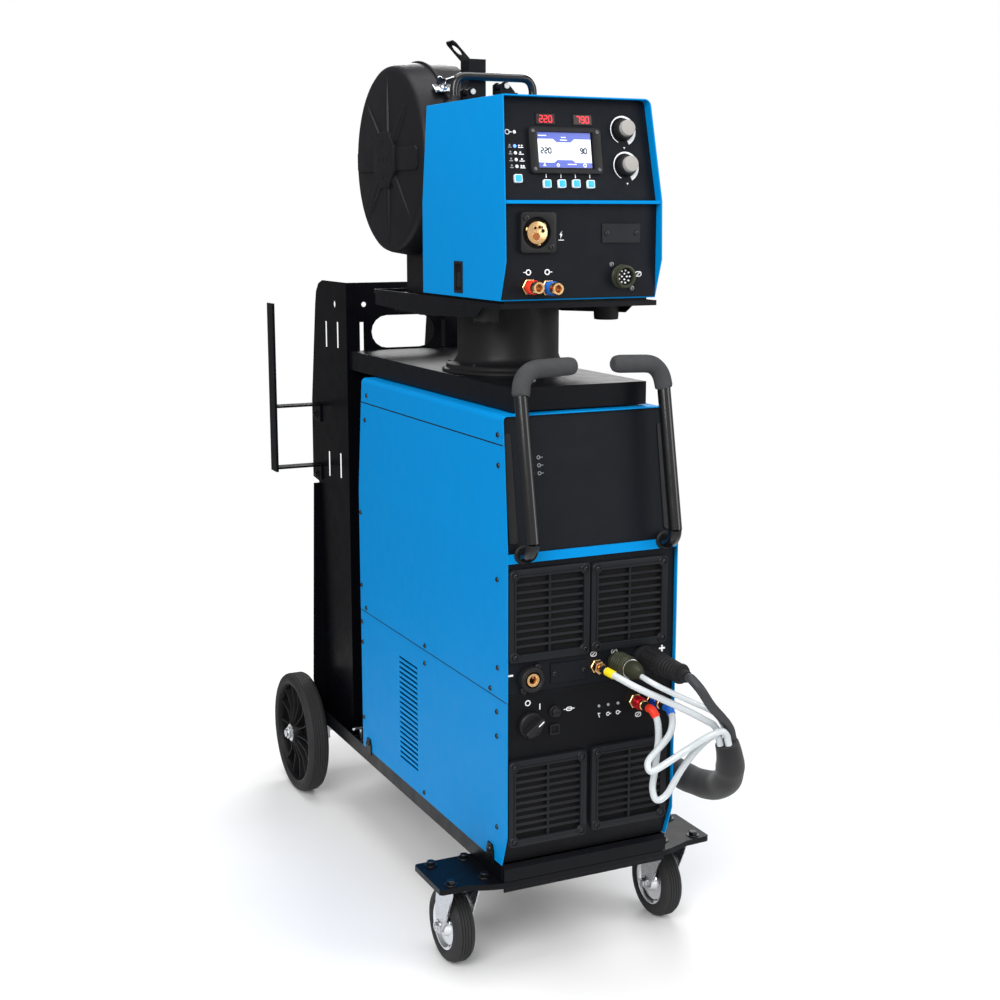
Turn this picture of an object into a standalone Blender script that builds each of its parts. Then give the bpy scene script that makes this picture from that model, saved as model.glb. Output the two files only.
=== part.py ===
"""Water-cooled MIG welding set on a cart, with its wire feeder on a pivot.

Metres, +Z up, the front faces -Y. Depths below are measured rearwards from the
lower front face of the power source; everything is moved by FRAME_SHIFT at the
end so that the origin is at the bottom centre of the set.
"""
import math

import bmesh
import bpy
from mathutils import Matrix, Vector

FRAME_SHIFT = 0.51925          # half-way between the front handles and rear tyres
GAP = 0.0004                   # clearance between neighbouring pieces
SHEET = 0.002                  # thickness of the cases' sheet metal

# Power source and the cooler under it
CASE_HALF = 0.152
CASE_DEPTH = 0.640
COOLER_BOTTOM = 0.193
COOLER_TOP = 0.4662
KINK_Z = 0.700                 # above this the case leans in and back
COVER_Z = 0.8635               # seam of the top cover
CASE_TOP = 0.9085
CASE_LEAN_IN = 0.009
CASE_LEAN_BACK = 0.0345
PANEL_SEAM = 0.4753
PANEL_RECESS = 0.006

# Cart
TRAY_HALF = 0.1495
TRAY_Z = (0.164, 0.192)
TRAY_Y = (0.022, 1.036)
AXLE_Y = 0.958
WHEEL_R = 0.125
WHEEL_X = (0.1525, 0.1966)
CYLINDER_PAD_X = (-0.115, 0.115)
CYLINDER_PAD_Y = (0.785, 1.020)
CYLINDER_PAD_TOP = 0.170
CASTER_X = 0.196
CASTER_Y = 0.090
CASTER_TRAIL = 0.0257
CASTER_R = 0.0625
PLATE_Z = (0.154, 0.1636)
UPRIGHT_Y = 0.768
UPRIGHT_HALF = 0.1245
UPRIGHT_TOP = 1.078
SHELF_HALF = 0.119
SHELF_Z = (0.911, 0.9475)
PIVOT_Y = 0.310
COLUMN_R = 0.086

# Wire feeder
TRAY_FLOOR = 1.0665
TRAY_RIM = 1.0748
FEEDER_BOTTOM = 1.0788
BAND_Z = 1.2274
FEEDER_TOP = 1.383
FEEDER_HALF = 0.136
FEEDER_TOP_HALF = 0.127
FEEDER_REAR = 0.356
CONTROL_Y = 0.058              # control panel's face at its lower edge
CONTROL_Z = 1.229
CONTROL_SLOPE = 0.177
SPOOL_Y = 0.522
SPOOL_Z = 1.301
SPOOL_X = (-0.124, -0.028)
DRUM_R = 0.165
RING_X = -0.080
WIRE_X = -0.0783
WIRE_Z = 1.181
TORCH_FACE = 0.0455

X_AXIS = Vector((1, 0, 0))
Y_AXIS = Vector((0, 1, 0))
Z_AXIS = Vector((0, 0, 1))

MATERIALS = {
    "blue_paint": ((0.02, 0.16, 0.50), 0.0, 0.40),
    "black_paint": ((0.015, 0.015, 0.017), 0.0, 0.50),
    "black_plastic": ((0.02, 0.02, 0.022), 0.0, 0.60),
    "cart_paint": ((0.05, 0.052, 0.056), 0.1, 0.45),
    "rubber": ((0.018, 0.018, 0.018), 0.0, 0.85),
    "zinc": ((0.62, 0.63, 0.64), 1.0, 0.32),
    "steel": ((0.55, 0.56, 0.57), 1.0, 0.35),
    "brass": ((0.70, 0.50, 0.20), 1.0, 0.30),
    "red": ((0.55, 0.03, 0.03), 0.0, 0.40),
    "blue": ((0.03, 0.12, 0.55), 0.0, 0.40),
    "pale_blue": ((0.45, 0.62, 0.75), 0.0, 0.45),
    "taupe": ((0.33, 0.30, 0.27), 0.0, 0.55),
    "clear_hose": ((0.72, 0.74, 0.70), 0.0, 0.25),
    "sleeve": ((0.03, 0.03, 0.032), 0.0, 0.90),
    "copper": ((0.75, 0.38, 0.22), 1.0, 0.30),
    "white_plastic": ((0.80, 0.80, 0.78), 0.0, 0.45),
}


def clear_file():
    for ob in list(bpy.data.objects):
        bpy.data.objects.remove(ob, do_unlink=True)
    for coll in list(bpy.data.collections):
        bpy.data.collections.remove(coll)


clear_file()
PARTS = bpy.data.collections.new("mig_welder_on_cart")
CUTTERS = bpy.data.collections.new("cutters")
bpy.context.scene.collection.children.link(PARTS)
bpy.context.scene.collection.children.link(CUTTERS)


def material(key, node):
    colour, metallic, roughness = MATERIALS[key]
    mat = bpy.data.materials.new(f"{node}_{key}")
    mat.use_nodes = True
    bsdf = mat.node_tree.nodes["Principled BSDF"]
    bsdf.inputs["Base Color"].default_value = (*colour, 1.0)
    bsdf.inputs["Metallic"].default_value = metallic
    bsdf.inputs["Roughness"].default_value = roughness
    return mat


# Raw shapes: each returns an unlinked mesh in world coordinates

def mesh_of(bm, name="shape"):
    bmesh.ops.remove_doubles(bm, verts=bm.verts, dist=1e-6)
    bmesh.ops.recalc_face_normals(bm, faces=bm.faces)
    me = bpy.data.meshes.new(name)
    bm.to_mesh(me)
    bm.free()
    return me


def box(x, y, z):
    bm = bmesh.new()
    size = Vector((x[1] - x[0], y[1] - y[0], z[1] - z[0]))
    centre = Vector(((x[0] + x[1]) / 2, (y[0] + y[1]) / 2, (z[0] + z[1]) / 2))
    bmesh.ops.create_cube(bm, size=1.0, matrix=Matrix.Translation(centre) @ Matrix.Diagonal((*size, 1.0)))
    return mesh_of(bm)


def cylinder(start, end, radius, sides=24):
    a, b = Vector(start), Vector(end)
    turn = Z_AXIS.rotation_difference(b - a).to_matrix().to_4x4()
    bm = bmesh.new()
    bmesh.ops.create_cone(bm, cap_ends=True, segments=sides, radius1=radius, radius2=radius,
                          depth=(b - a).length, matrix=Matrix.Translation((a + b) / 2) @ turn)
    return mesh_of(bm)


def evaluated(data, modify=None):
    """Mesh of a temporary object after its modifiers."""
    ob = bpy.data.objects.new("temporary", data)
    CUTTERS.objects.link(ob)
    if modify:
        modify(ob)
    graph = bpy.context.evaluated_depsgraph_get()
    me = bpy.data.meshes.new_from_object(ob.evaluated_get(graph))
    bpy.data.objects.remove(ob, do_unlink=True)
    bm = bmesh.new()
    bm.from_mesh(me)
    return mesh_of(bm)


def moved(me, matrix):
    me.transform(matrix)
    return me


def turned(profile, steps=24, closed=True, origin=(0, 0, 0), axis=Z_AXIS):
    """Profile of (radius, height) pairs turned about Z, then stood on the given axis."""
    bm = bmesh.new()
    verts = [bm.verts.new((r, 0, h)) for r, h in profile]
    for a, b in zip(verts, verts[1:]):
        bm.edges.new((a, b))
    if closed:
        bm.edges.new((verts[-1], verts[0]))
    me = bpy.data.meshes.new("profile")
    bm.to_mesh(me)
    bm.free()

    def screw(ob):
        mod = ob.modifiers.new("Screw", "SCREW")
        mod.steps = mod.render_steps = steps
        mod.use_merge_vertices = True
        mod.merge_threshold = 0.00005

    turn = Z_AXIS.rotation_difference(Vector(axis)).to_matrix().to_4x4()
    return moved(evaluated(me, screw), Matrix.Translation(origin) @ turn)


def plate(outline, thickness, origin, across, up):
    """Flat outline in the plane of two directions, centred on its thickness."""
    curve = bpy.data.curves.new("outline", "CURVE")
    curve.dimensions = "2D"
    curve.fill_mode = "BOTH"
    curve.extrude = thickness / 2
    spline = curve.splines.new("POLY")
    spline.points.add(len(outline) - 1)
    for point, (u, v) in zip(spline.points, outline):
        point.co = (u, v, 0, 1)
    spline.use_cyclic_u = True
    u, v = Vector(across).normalized(), Vector(up).normalized()
    frame = Matrix((u, v, u.cross(v))).transposed().to_4x4()
    return moved(evaluated(curve), Matrix.Translation(origin) @ frame)


def stadium(x, z, steps=8):
    """Outline of a slot with half-round ends, filling the given ranges."""
    radius = (z[1] - z[0]) / 2
    centre = (z[0] + z[1]) / 2
    outline = []
    for middle, first in ((x[1] - radius, -90), (x[0] + radius, 90)):
        for k in range(steps + 1):
            angle = math.radians(first + 180 * k / steps)
            outline.append((middle + radius * math.cos(angle), centre + radius * math.sin(angle)))
    return outline


def side_plate(outline, x0, x1):
    """Outline of (y, z) points extruded across from x0 to x1."""
    return plate(outline, x1 - x0, ((x0 + x1) / 2, 0, 0), Y_AXIS, Z_AXIS)


def loft(levels):
    """Four-sided body through levels of (z, x0, x1, y0, y1)."""
    bm = bmesh.new()
    rings = [[bm.verts.new(p) for p in ((x0, y0, z), (x1, y0, z), (x1, y1, z), (x0, y1, z))]
             for z, x0, x1, y0, y1 in levels]
    for low, high in zip(rings, rings[1:]):
        for i in range(4):
            j = (i + 1) % 4
            bm.faces.new((low[i], low[j], high[j], high[i]))
    bm.faces.new(rings[0][::-1])
    bm.faces.new(rings[-1])
    return mesh_of(bm)


def smooth_path(route, count):
    """Points evenly spaced along a Catmull-Rom curve through the route."""
    pts = [Vector(p) for p in route]
    pts = [2 * pts[0] - pts[1]] + pts + [2 * pts[-1] - pts[-2]]
    dense = []
    for p0, p1, p2, p3 in zip(pts, pts[1:], pts[2:], pts[3:]):
        for k in range(16):
            t = k / 16
            dense.append(0.5 * (2 * p1 + (p2 - p0) * t + (2 * p0 - 5 * p1 + 4 * p2 - p3) * t ** 2
                                + (3 * p1 - p0 - 3 * p2 + p3) * t ** 3))
    dense.append(pts[-2])
    lengths = [0.0]
    for a, b in zip(dense, dense[1:]):
        lengths.append(lengths[-1] + (b - a).length)
    result = []
    at = 0
    for k in range(count):
        goal = lengths[-1] * k / (count - 1)
        while at < len(dense) - 2 and lengths[at + 1] < goal:
            at += 1
        span = lengths[at + 1] - lengths[at]
        result.append(dense[at].lerp(dense[at + 1], (goal - lengths[at]) / span))
    return result


def tube(points, radius, resolution=2, widths=None):
    curve = bpy.data.curves.new("tube", "CURVE")
    curve.dimensions = "3D"
    curve.bevel_depth = radius
    curve.bevel_resolution = resolution
    curve.use_fill_caps = True
    spline = curve.splines.new("POLY")
    spline.points.add(len(points) - 1)
    for i, point in enumerate(points):
        spline.points[i].co = (*point, 1)
        spline.points[i].radius = widths[i] if widths else 1.0
    return curve


# Building parts

def boolean(me, other, operation):
    tool = bpy.data.objects.new("tool", other)
    CUTTERS.objects.link(tool)

    def apply(ob):
        mod = ob.modifiers.new("Boolean", "BOOLEAN")
        mod.operation = operation
        mod.solver = "EXACT"
        mod.object = tool

    result = evaluated(me, apply)
    bpy.data.objects.remove(tool, do_unlink=True)
    return result


def union(first, *others):
    for other in others:
        first = boolean(first, other, "UNION")
    return first


def without(first, *others):
    for other in others:
        first = boolean(first, other, "DIFFERENCE")
    return first


def together(meshes):
    """One mesh of several separate shapes, to cut with at once."""
    bm = bmesh.new()
    for me in meshes:
        bm.from_mesh(me)
    return mesh_of(bm)


def triangulated(me):
    """Splits every face once, so that a mirrored copy is split the same way."""
    bm = bmesh.new()
    bm.from_mesh(me)
    bmesh.ops.triangulate(bm, faces=bm.faces)
    return mesh_of(bm)


def mirrored(me):
    bm = bmesh.new()
    bm.from_mesh(me)
    bmesh.ops.transform(bm, matrix=Matrix.Diagonal((-1, 1, 1, 1)), verts=bm.verts)
    return mesh_of(bm)


def part(name, data, key, origin=(0, 0, 0), smooth=True):
    """Adds a piece whose origin is the given point, usually on its joint's axis."""
    ob = bpy.data.objects.new(name, data)
    PARTS.objects.link(ob)
    data.name = name
    data.transform(Matrix.Translation(-Vector(origin)))
    ob.location = Vector(origin) - Vector((0, FRAME_SHIFT, 0))
    data.materials.clear()
    data.materials.append(material(key, name))
    if smooth and isinstance(data, bpy.types.Mesh):
        data.shade_smooth()
        data.set_sharp_from_angle(angle=math.radians(35))
    return ob


def both_sides(name, me, key, origin=(0, 0, 0)):
    """The piece as given on the +X side, and its mirror image on the -X side."""
    x, y, z = origin
    part(f"{name}_left", mirrored(me), key, (-x, y, z))
    part(f"{name}_right", me, key, origin)


# Cart

def make_tray():
    low, high = TRAY_Z
    y0, y1 = TRAY_Y
    body = without(box((-TRAY_HALF, TRAY_HALF), (y0, y1), (low, high)),
                   box((-TRAY_HALF + 0.0025, TRAY_HALF - 0.0025), (y0 + 0.0025, y1 - 0.0025), (low + 0.003, 1)))
    pad = box(CYLINDER_PAD_X, CYLINDER_PAD_Y, (low + 0.001, CYLINDER_PAD_TOP))
    part("cart_tray", union(body, pad), "cart_paint")


def make_caster_plate():
    low, high = PLATE_Z
    wing = [(0.246, 0.145), (0.250, 0.141), (0.250, 0.040), (0.246, 0.036), (0.205, 0.034), (0.165, 0.020),
            (0.150, 0.017)]
    outline = wing + [(-x, y) for x, y in wing[::-1]]
    body = plate(outline, high - low, (0, 0, (low + high) / 2), X_AXIS, Y_AXIS)
    lip = box((-0.148, 0.148), (0.0172, 0.0202), (0.147, 0.156))
    part("caster_plate", union(body, lip), "cart_paint")


def make_rear_axle():
    rod = cylinder((-0.2095, AXLE_Y, WHEEL_R), (0.2095, AXLE_Y, WHEEL_R), 0.008)
    hangers = [box((x, x + 0.020), (0.934, 0.982), (0.108, TRAY_Z[0] - GAP)) for x in (-0.138, 0.118)]
    part("rear_axle", union(rod, *hangers), "zinc")


def make_rear_wheels():
    inner, outer = WHEEL_X
    width = outer - inner
    profile = [(0.0086, 0), (0.020, 0), (0.020, 0.015), (0.080, 0.015), (0.099, 0.003), (0.117, 0),
               (WHEEL_R, 0.008), (WHEEL_R, width - 0.008), (0.117, width), (0.099, width - 0.003),
               (0.080, width - 0.015), (0.020, width - 0.015), (0.020, width), (0.0086, width)]
    wheel = turned(profile, 32, origin=(inner, AXLE_Y, WHEEL_R), axis=X_AXIS)
    windows = []
    for k in range(10):
        angle = 2 * math.pi * (k + 0.5) / 10
        y = AXLE_Y + 0.052 * math.cos(angle)
        z = WHEEL_R + 0.052 * math.sin(angle)
        windows.append(cylinder((inner - 0.01, y, z), (outer + 0.01, y, z), 0.0135, 8))
    both_sides("rear_wheel", without(wheel, together(windows)), "rubber", (inner, AXLE_Y, WHEEL_R))


def make_casters():
    x, y = CASTER_X, CASTER_Y
    wheel_y = y + CASTER_TRAIL
    top = PLATE_Z[0] - GAP
    leg = [(y - 0.030, 0.1440), (y - 0.030, 0.1330), (wheel_y - 0.012, 0.058), (wheel_y - 0.005, 0.0505),
           (wheel_y + 0.005, 0.0505), (wheel_y + 0.012, 0.058), (y + 0.030, 0.1330), (y + 0.030, 0.1440)]
    legs = [side_plate(leg, a, a + 0.0025) for a in (x - 0.0245, x + 0.022)]
    bridge = box((x - 0.0245, x + 0.0245), (y - 0.030, y + 0.030), (0.1410, 0.1440))
    head = cylinder((x, y, 0.1425), (x, y, top), 0.030)
    axle = cylinder((x - 0.027, wheel_y, CASTER_R), (x + 0.027, wheel_y, CASTER_R), 0.005, 16)
    fork = union(bridge, head, *legs, axle)
    both_sides("caster_fork", fork, "zinc", (x, y, top))
    profile = [(0.0055, -0.0205), (0.019, -0.0205), (0.024, -0.012), (0.042, -0.015), (0.055, -0.0175),
               (CASTER_R, -0.009), (CASTER_R, 0.009), (0.055, 0.0175), (0.042, 0.015), (0.024, 0.012),
               (0.019, 0.0205), (0.0055, 0.0205)]
    wheel = turned(profile, 28, origin=(x, wheel_y, CASTER_R), axis=X_AXIS)
    both_sides("caster_wheel", wheel, "rubber", (x, wheel_y, CASTER_R))


def make_upright():
    y = UPRIGHT_Y
    base = TRAY_Z[0] + 0.003 + GAP
    side = [(y, base), (0.941, base), (0.9515, 0.664), (0.9875, 0.668), (0.985, 0.83), (0.952, 1.030),
            (0.945, 1.055), (0.930, 1.071), (0.906, UPRIGHT_TOP), (y, UPRIGHT_TOP)]
    body = without(side_plate(side, -UPRIGHT_HALF, UPRIGHT_HALF),
                   box((-UPRIGHT_HALF + SHEET, UPRIGHT_HALF - SHEET), (y + SHEET, 1.1), (0.1, 1.2)))
    slope = Vector((0, 0.9515 - 0.941, 0.664 - 0.240)).normalized()
    for sign in (-1, 1):
        lip = [(0, 0), (sign * 0.0265, 0), (sign * 0.0125, 0.420), (0, 0.420)]
        foot = Vector((sign * (UPRIGHT_HALF - 0.001), 0.9410, 0.240))
        body = union(body, plate(lip, SHEET, foot, X_AXIS, slope))
    slots = [box((-0.2, 0.2), (yc - 0.006, yc + 0.006), z) for yc, z in
             ((0.8215, (0.949, 1.000)), (0.889, (0.946, 0.9975)), (0.885, (0.684, 0.735)), (0.817, (0.690, 0.740)))]
    slots.append(cylinder((-0.2, 0.836, 1.034), (0.2, 0.836, 1.034), 0.0068, 12))
    across = (y - 0.01, y + 0.01)
    windows = [box((-0.097, -0.089), across, (0.946, 1.002)), box((0.075, 0.083), across, (0.950, 1.002)),
               plate(stadium((-0.0726, 0.0596), (0.951, 1.014)), 0.02, (0, y, 0), X_AXIS, Z_AXIS),
               cylinder((-0.088, across[0], 1.036), (-0.088, across[1], 1.036), 0.005, 12)]
    part("upright_panel", without(body, together(slots), together(windows)), "cart_paint")


def make_cable_hook():
    bar = box((-0.2245, -0.2195), (0.9215, 0.958), (0.693, 1.033))
    pieces = []
    for arm_z, tab_z in ((0.825, 0.790), (0.700, 0.670)):
        pieces.append(box((-0.222, -UPRIGHT_HALF - GAP), (0.9235, 0.956), (arm_z - 0.002, arm_z + 0.002)))
        pieces.append(box((-UPRIGHT_HALF - 0.004, -UPRIGHT_HALF - GAP), (0.926, 0.960), (tab_z, arm_z)))
    part("cable_hook", union(bar, *pieces), "cart_paint")


def make_shelf():
    y1 = UPRIGHT_Y - GAP
    low, high = SHELF_Z
    body = without(box((-SHELF_HALF, SHELF_HALF), (0.052, y1), (low, high)),
                   box((-SHELF_HALF + SHEET, SHELF_HALF - SHEET), (0.052 + SHEET, y1 + 0.01), (0.9, high - SHEET)))
    part("lower_shelf", body, "cart_paint")


def make_pivot():
    base = SHELF_Z[1] + GAP
    top = TRAY_FLOOR - GAP
    profile = [(0, base), (0.112, base), (0.112, 0.953), (0.105, 0.956), (0.105, 0.961), (0.092, 0.964),
               (COLUMN_R, 0.974), (COLUMN_R, top), (0, top)]
    part("pivot_column", turned(profile, 32, closed=False, origin=(0, PIVOT_Y, 0)), "cart_paint",
         (0, PIVOT_Y, top))


def make_platform():
    half = 0.137
    body = without(box((-half, half), (0.055, 0.585), (TRAY_FLOOR, TRAY_RIM)),
                   box((-half + SHEET, half - SHEET), (0.057, 0.583), (TRAY_FLOOR + SHEET, 1.2)))
    flange = [(0.118, 1.0675), (0.148, 1.050), (0.370, 1.0405), (0.580, 1.0475), (0.580, 1.0675)]
    flanges = [side_plate(flange, a, a + SHEET) for a in (-0.136, 0.134)]
    feet = [cylinder((x, y, 1.039), (x, y, 1.0675), 0.020, 20) for x in (-0.1086, 0.1086) for y in (0.166, 0.500)]
    part("feeder_platform", union(body, *flanges, *feet), "cart_paint", (0, PIVOT_Y, TRAY_FLOOR))


def make_handles():
    route = [(0.125, -GAP, 0.6995), (0.125, -0.012, 0.6998), (0.125, -0.0235, 0.7040), (0.125, -0.0305, 0.7125),
             (0.125, -0.0327, 0.7235), (0.125, -0.0305, 0.7387), (0.125, 0.0060, 0.9250), (0.1245, 0.0095, 0.9450),
             (0.1210, 0.0118, 0.9610), (0.1125, 0.0128, 0.9725), (0.0990, 0.0122, 0.9790), (0.0700, 0.0105, 0.9808),
             (0.0324, 0.0090, 0.9820)]
    points = smooth_path(route, 42)
    grip = 0.955
    widths = [1.0 if p.z < grip and p.x > 0.12 else 1.34 for p in points]
    bar = triangulated(evaluated(tube(points, 0.0105, 2, widths)))
    both_sides("handle", bar, "rubber", (0.125, 0, 0.7))


# Power source and cooler

def case_level(z, inset=0.0, front=0.0):
    lean = max(0.0, (z - KINK_Z) / (CASE_TOP - KINK_Z))
    half = CASE_HALF - CASE_LEAN_IN * lean - inset
    return (z, -half, half, CASE_LEAN_BACK * lean + front, CASE_DEPTH - inset)


def make_cooler_case():
    profile = [(0, COOLER_TOP), (0, 0.245), (0.0193, COOLER_BOTTOM), (CASE_DEPTH, COOLER_BOTTOM),
               (CASE_DEPTH, COOLER_TOP)]
    half = CASE_HALF - SHEET
    body = without(side_plate(profile, -CASE_HALF, CASE_HALF),
                   box((-half, half), (0.0097, CASE_DEPTH - SHEET), (COOLER_BOTTOM + SHEET, COOLER_TOP - SHEET)),
                   box((-half, half), (-0.01, 0.0098), (0.19, 0.48)),
                   box((-half, half), (-0.01, 0.0290), (0.19, 0.26)))
    pitch = 0.0094
    slots = [box((-0.2, 0.2), (0.3615, 0.446), (0.2334 + k * pitch, 0.2334 + k * pitch + 0.0040))
             for k in range(21)]
    part("cooler_case", without(body, together(slots)), "blue_paint")


def make_cooler_front():
    half = CASE_HALF - SHEET - GAP
    front = PANEL_RECESS
    top = PANEL_SEAM - GAP
    profile = [(front, top), (front, 0.2530), (0.0256, 0.1960), (0.0286, 0.1960), (front + 0.003, 0.2536),
               (front + 0.003, top)]
    part("cooler_front", side_plate(profile, -half, half), "black_plastic")


def make_power_case():
    low = COOLER_TOP + GAP
    outer = loft([case_level(z) for z in (low, KINK_Z, COVER_Z)])
    inner = loft([case_level(z, SHEET, -0.06) for z in (low + SHEET, KINK_Z, 0.90)])
    half = CASE_HALF - SHEET
    strip = box((-half - 0.0005, half + 0.0005), (0, 0.004), (0.686, 0.7005))
    notch = box((-half, half), (-0.01, 0.0098), (0.45, 0.48))
    part("power_source_case", union(without(outer, inner, notch), strip), "blue_paint")


def make_top_cover():
    outer = loft([case_level(z) for z in (COVER_Z + GAP, CASE_TOP)])
    inner = loft([case_level(z, SHEET, -0.06) for z in (0.85, CASE_TOP - SHEET)])
    part("top_cover", without(outer, inner), "blue_paint")


def make_power_front():
    top = CASE_TOP - SHEET - GAP
    levels = []
    for z in (PANEL_SEAM, KINK_Z + 0.0005, top):
        _, x0, x1, y0, _ = case_level(z, SHEET + GAP, PANEL_RECESS)
        levels.append((z, x0, x1, y0, y0 + 0.003))
    part("power_source_front", loft(levels), "black_plastic")


def make_grille(name, x, z):
    rows = 10
    border = 0.008
    divider = 0.004
    frame = box(x, (-0.002, PANEL_RECESS - GAP), z)
    pitch = (z[1] - z[0] - 2 * border) / rows
    middle = (x[0] + x[1]) / 2
    openings = []
    for k in range(rows):
        z0 = z[0] + border + k * pitch + 0.0025
        for a, b in ((x[0] + border, middle - divider / 2), (middle + divider / 2, x[1] - border)):
            openings.append(box((a, b), (-0.01, 0.02), (z0, z0 + pitch - 0.005)))
    part(name, without(frame, together(openings)), "black_plastic")


def make_front_fittings():
    y = PANEL_RECESS - GAP
    ring = [(0, 0), (0.021, 0), (0.021, 0.010), (0.0185, 0.013), (0.0125, 0.013), (0.0115, 0.008), (0, 0.008)]
    part("minus_socket", turned(ring, 24, False, (-0.1094, y, 0.500), -Y_AXIS), "brass")
    plug = [(0, 0), (0.0175, 0), (0.0175, 0.012), (0.0155, 0.016), (0.0165, 0.060), (0.0145, 0.085),
            (0.0105, 0.115), (0.0090, 0.132), (0, 0.132)]
    part("plus_plug", turned(plug, 24, False, (0.094, y, 0.5116), -Y_AXIS), "rubber")
    coupling = [(0, 0), (0.0125, 0), (0.0125, 0.008), (0.010, 0.010), (0.010, 0.030), (0.0065, 0.033),
                (0.0065, 0.044), (0, 0.044)]
    part("return_coupling", turned(coupling, 16, False, (0.0788, y, 0.4385), -Y_AXIS), "red")
    part("supply_coupling", turned(coupling, 16, False, (0.1107, y, 0.4357), -Y_AXIS), "blue")
    knob = turned([(0, 0), (0.021, 0), (0.021, 0.007), (0.018, 0.009), (0, 0.009)], 24, False,
                  (-0.109, y, 0.425), -Y_AXIS)
    bar = box((-0.1135, -0.1045), (y - 0.024, y - 0.006), (0.408, 0.442))
    part("mains_switch", union(knob, bar), "black_plastic", (-0.109, y, 0.425))


def make_inner_parts():
    core = box((-0.085, 0.085), (0.130, 0.300), (0.4690, 0.640))
    winding = box((-0.055, 0.055), (0.110, 0.320), (0.500, 0.610))
    part("transformer", union(core, winding), "copper")
    hub = cylinder((0, 0.560, 0.690), (0, 0.590, 0.690), 0.030, 20)
    blades = []
    for k in range(6):
        blade = box((-0.018, 0.018), (-0.0012, 0.0012), (0.020, 0.092))
        turn = Matrix.Rotation(math.pi * k / 3, 4, "Y") @ Matrix.Rotation(math.radians(35), 4, "Z")
        blades.append(moved(blade, Matrix.Translation((0, 0.575, 0.690)) @ turn))
    part("cooling_fan", union(hub, *blades), "black_plastic", (0, 0.560, 0.690))
    tank = union(box((-0.120, 0.040), (0.120, 0.330), (COOLER_BOTTOM + SHEET + GAP, 0.380)),
                 cylinder((-0.040, 0.180, 0.370), (-0.040, 0.180, 0.420), 0.022))
    part("coolant_tank", tank, "white_plastic")


# Wire feeder

def feeder_level(z, inset=0.0):
    """Half width and front edge of the feeder's side walls at a height."""
    lean = max(0.0, (z - BAND_Z) / (FEEDER_TOP - BAND_Z))
    half = FEEDER_HALF - (FEEDER_HALF - FEEDER_TOP_HALF) * lean - inset
    fronts = [(FEEDER_BOTTOM, 0.0588), (1.1384, 0.0392), (BAND_Z, 0.0418), (FEEDER_TOP, 0.068)]
    for (za, ya), (zb, yb) in zip(fronts, fronts[1:]):
        if z <= zb:
            return half, ya + (yb - ya) * (z - za) / (zb - za)
    return half, fronts[-1][1]


FEEDER_LEVELS = (FEEDER_BOTTOM, 1.1384, BAND_Z, FEEDER_TOP)


def make_feeder_shell():
    door = SHEET + GAP
    outer, inner = [], []
    for z in FEEDER_LEVELS:
        half, front = feeder_level(z)
        outer.append((z, -half + door, half, front, FEEDER_REAR))
    for z in (FEEDER_BOTTOM + SHEET, 1.1384, BAND_Z, FEEDER_TOP - SHEET):
        half, front = feeder_level(z)
        inner.append((z, -0.2, half - SHEET, -0.05, FEEDER_REAR - SHEET))
    band = box((-0.1330, 0.1345), (0.0430, 0.0600), (1.2235, 1.2285))
    wall = box((-0.001, 0.001), (0.0960, FEEDER_REAR - 0.001), (FEEDER_BOTTOM + 0.001, FEEDER_TOP - 0.001))
    body = union(without(loft(outer), loft(inner)), wall, band)
    holes = [cylinder((WIRE_X, 0.34, WIRE_Z), (WIRE_X, 0.37, WIRE_Z), 0.006, 12)]
    for z in (WIRE_Z - 0.0185, WIRE_Z + 0.0190):
        holes.append(cylinder((-0.01, 0.200, z), (0.01, 0.200, z), 0.0065, 16))
    part("feeder_shell", without(body, together(holes)), "blue_paint")


def make_feeder_door():
    levels = []
    for z in FEEDER_LEVELS:
        half, front = feeder_level(z)
        levels.append((z, -half, -half + SHEET, front, FEEDER_REAR))
    latch = box((-0.2, -0.1), (0.195, 0.225), (1.087, 1.1325))
    part("feeder_door", without(loft(levels), latch), "blue_paint", (-FEEDER_TOP_HALF, 0.2, FEEDER_TOP))


def on_panel(x, z, out=0.0):
    """Point on the sloping control panel, moved out along its normal."""
    y = CONTROL_Y + CONTROL_SLOPE * (z - CONTROL_Z)
    return Vector((x, y, z)) - panel_inward() * out


def panel_up():
    return Vector((0, CONTROL_SLOPE, 1)).normalized()


def panel_inward():
    return Vector((0, 1, -CONTROL_SLOPE)).normalized()


def rectangle(width, height):
    w, h = width / 2, height / 2
    return [(-w, -h), (w, -h), (w, h), (-w, h)]


BUTTONS = {"menu": (-0.104, 1.260), "one": (-0.0559, 1.2527), "two": (-0.0308, 1.2529),
           "three": (-0.006, 1.2531), "four": (0.019, 1.2525)}
BUTTON_SIZE = (0.013, 0.0125)


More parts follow.
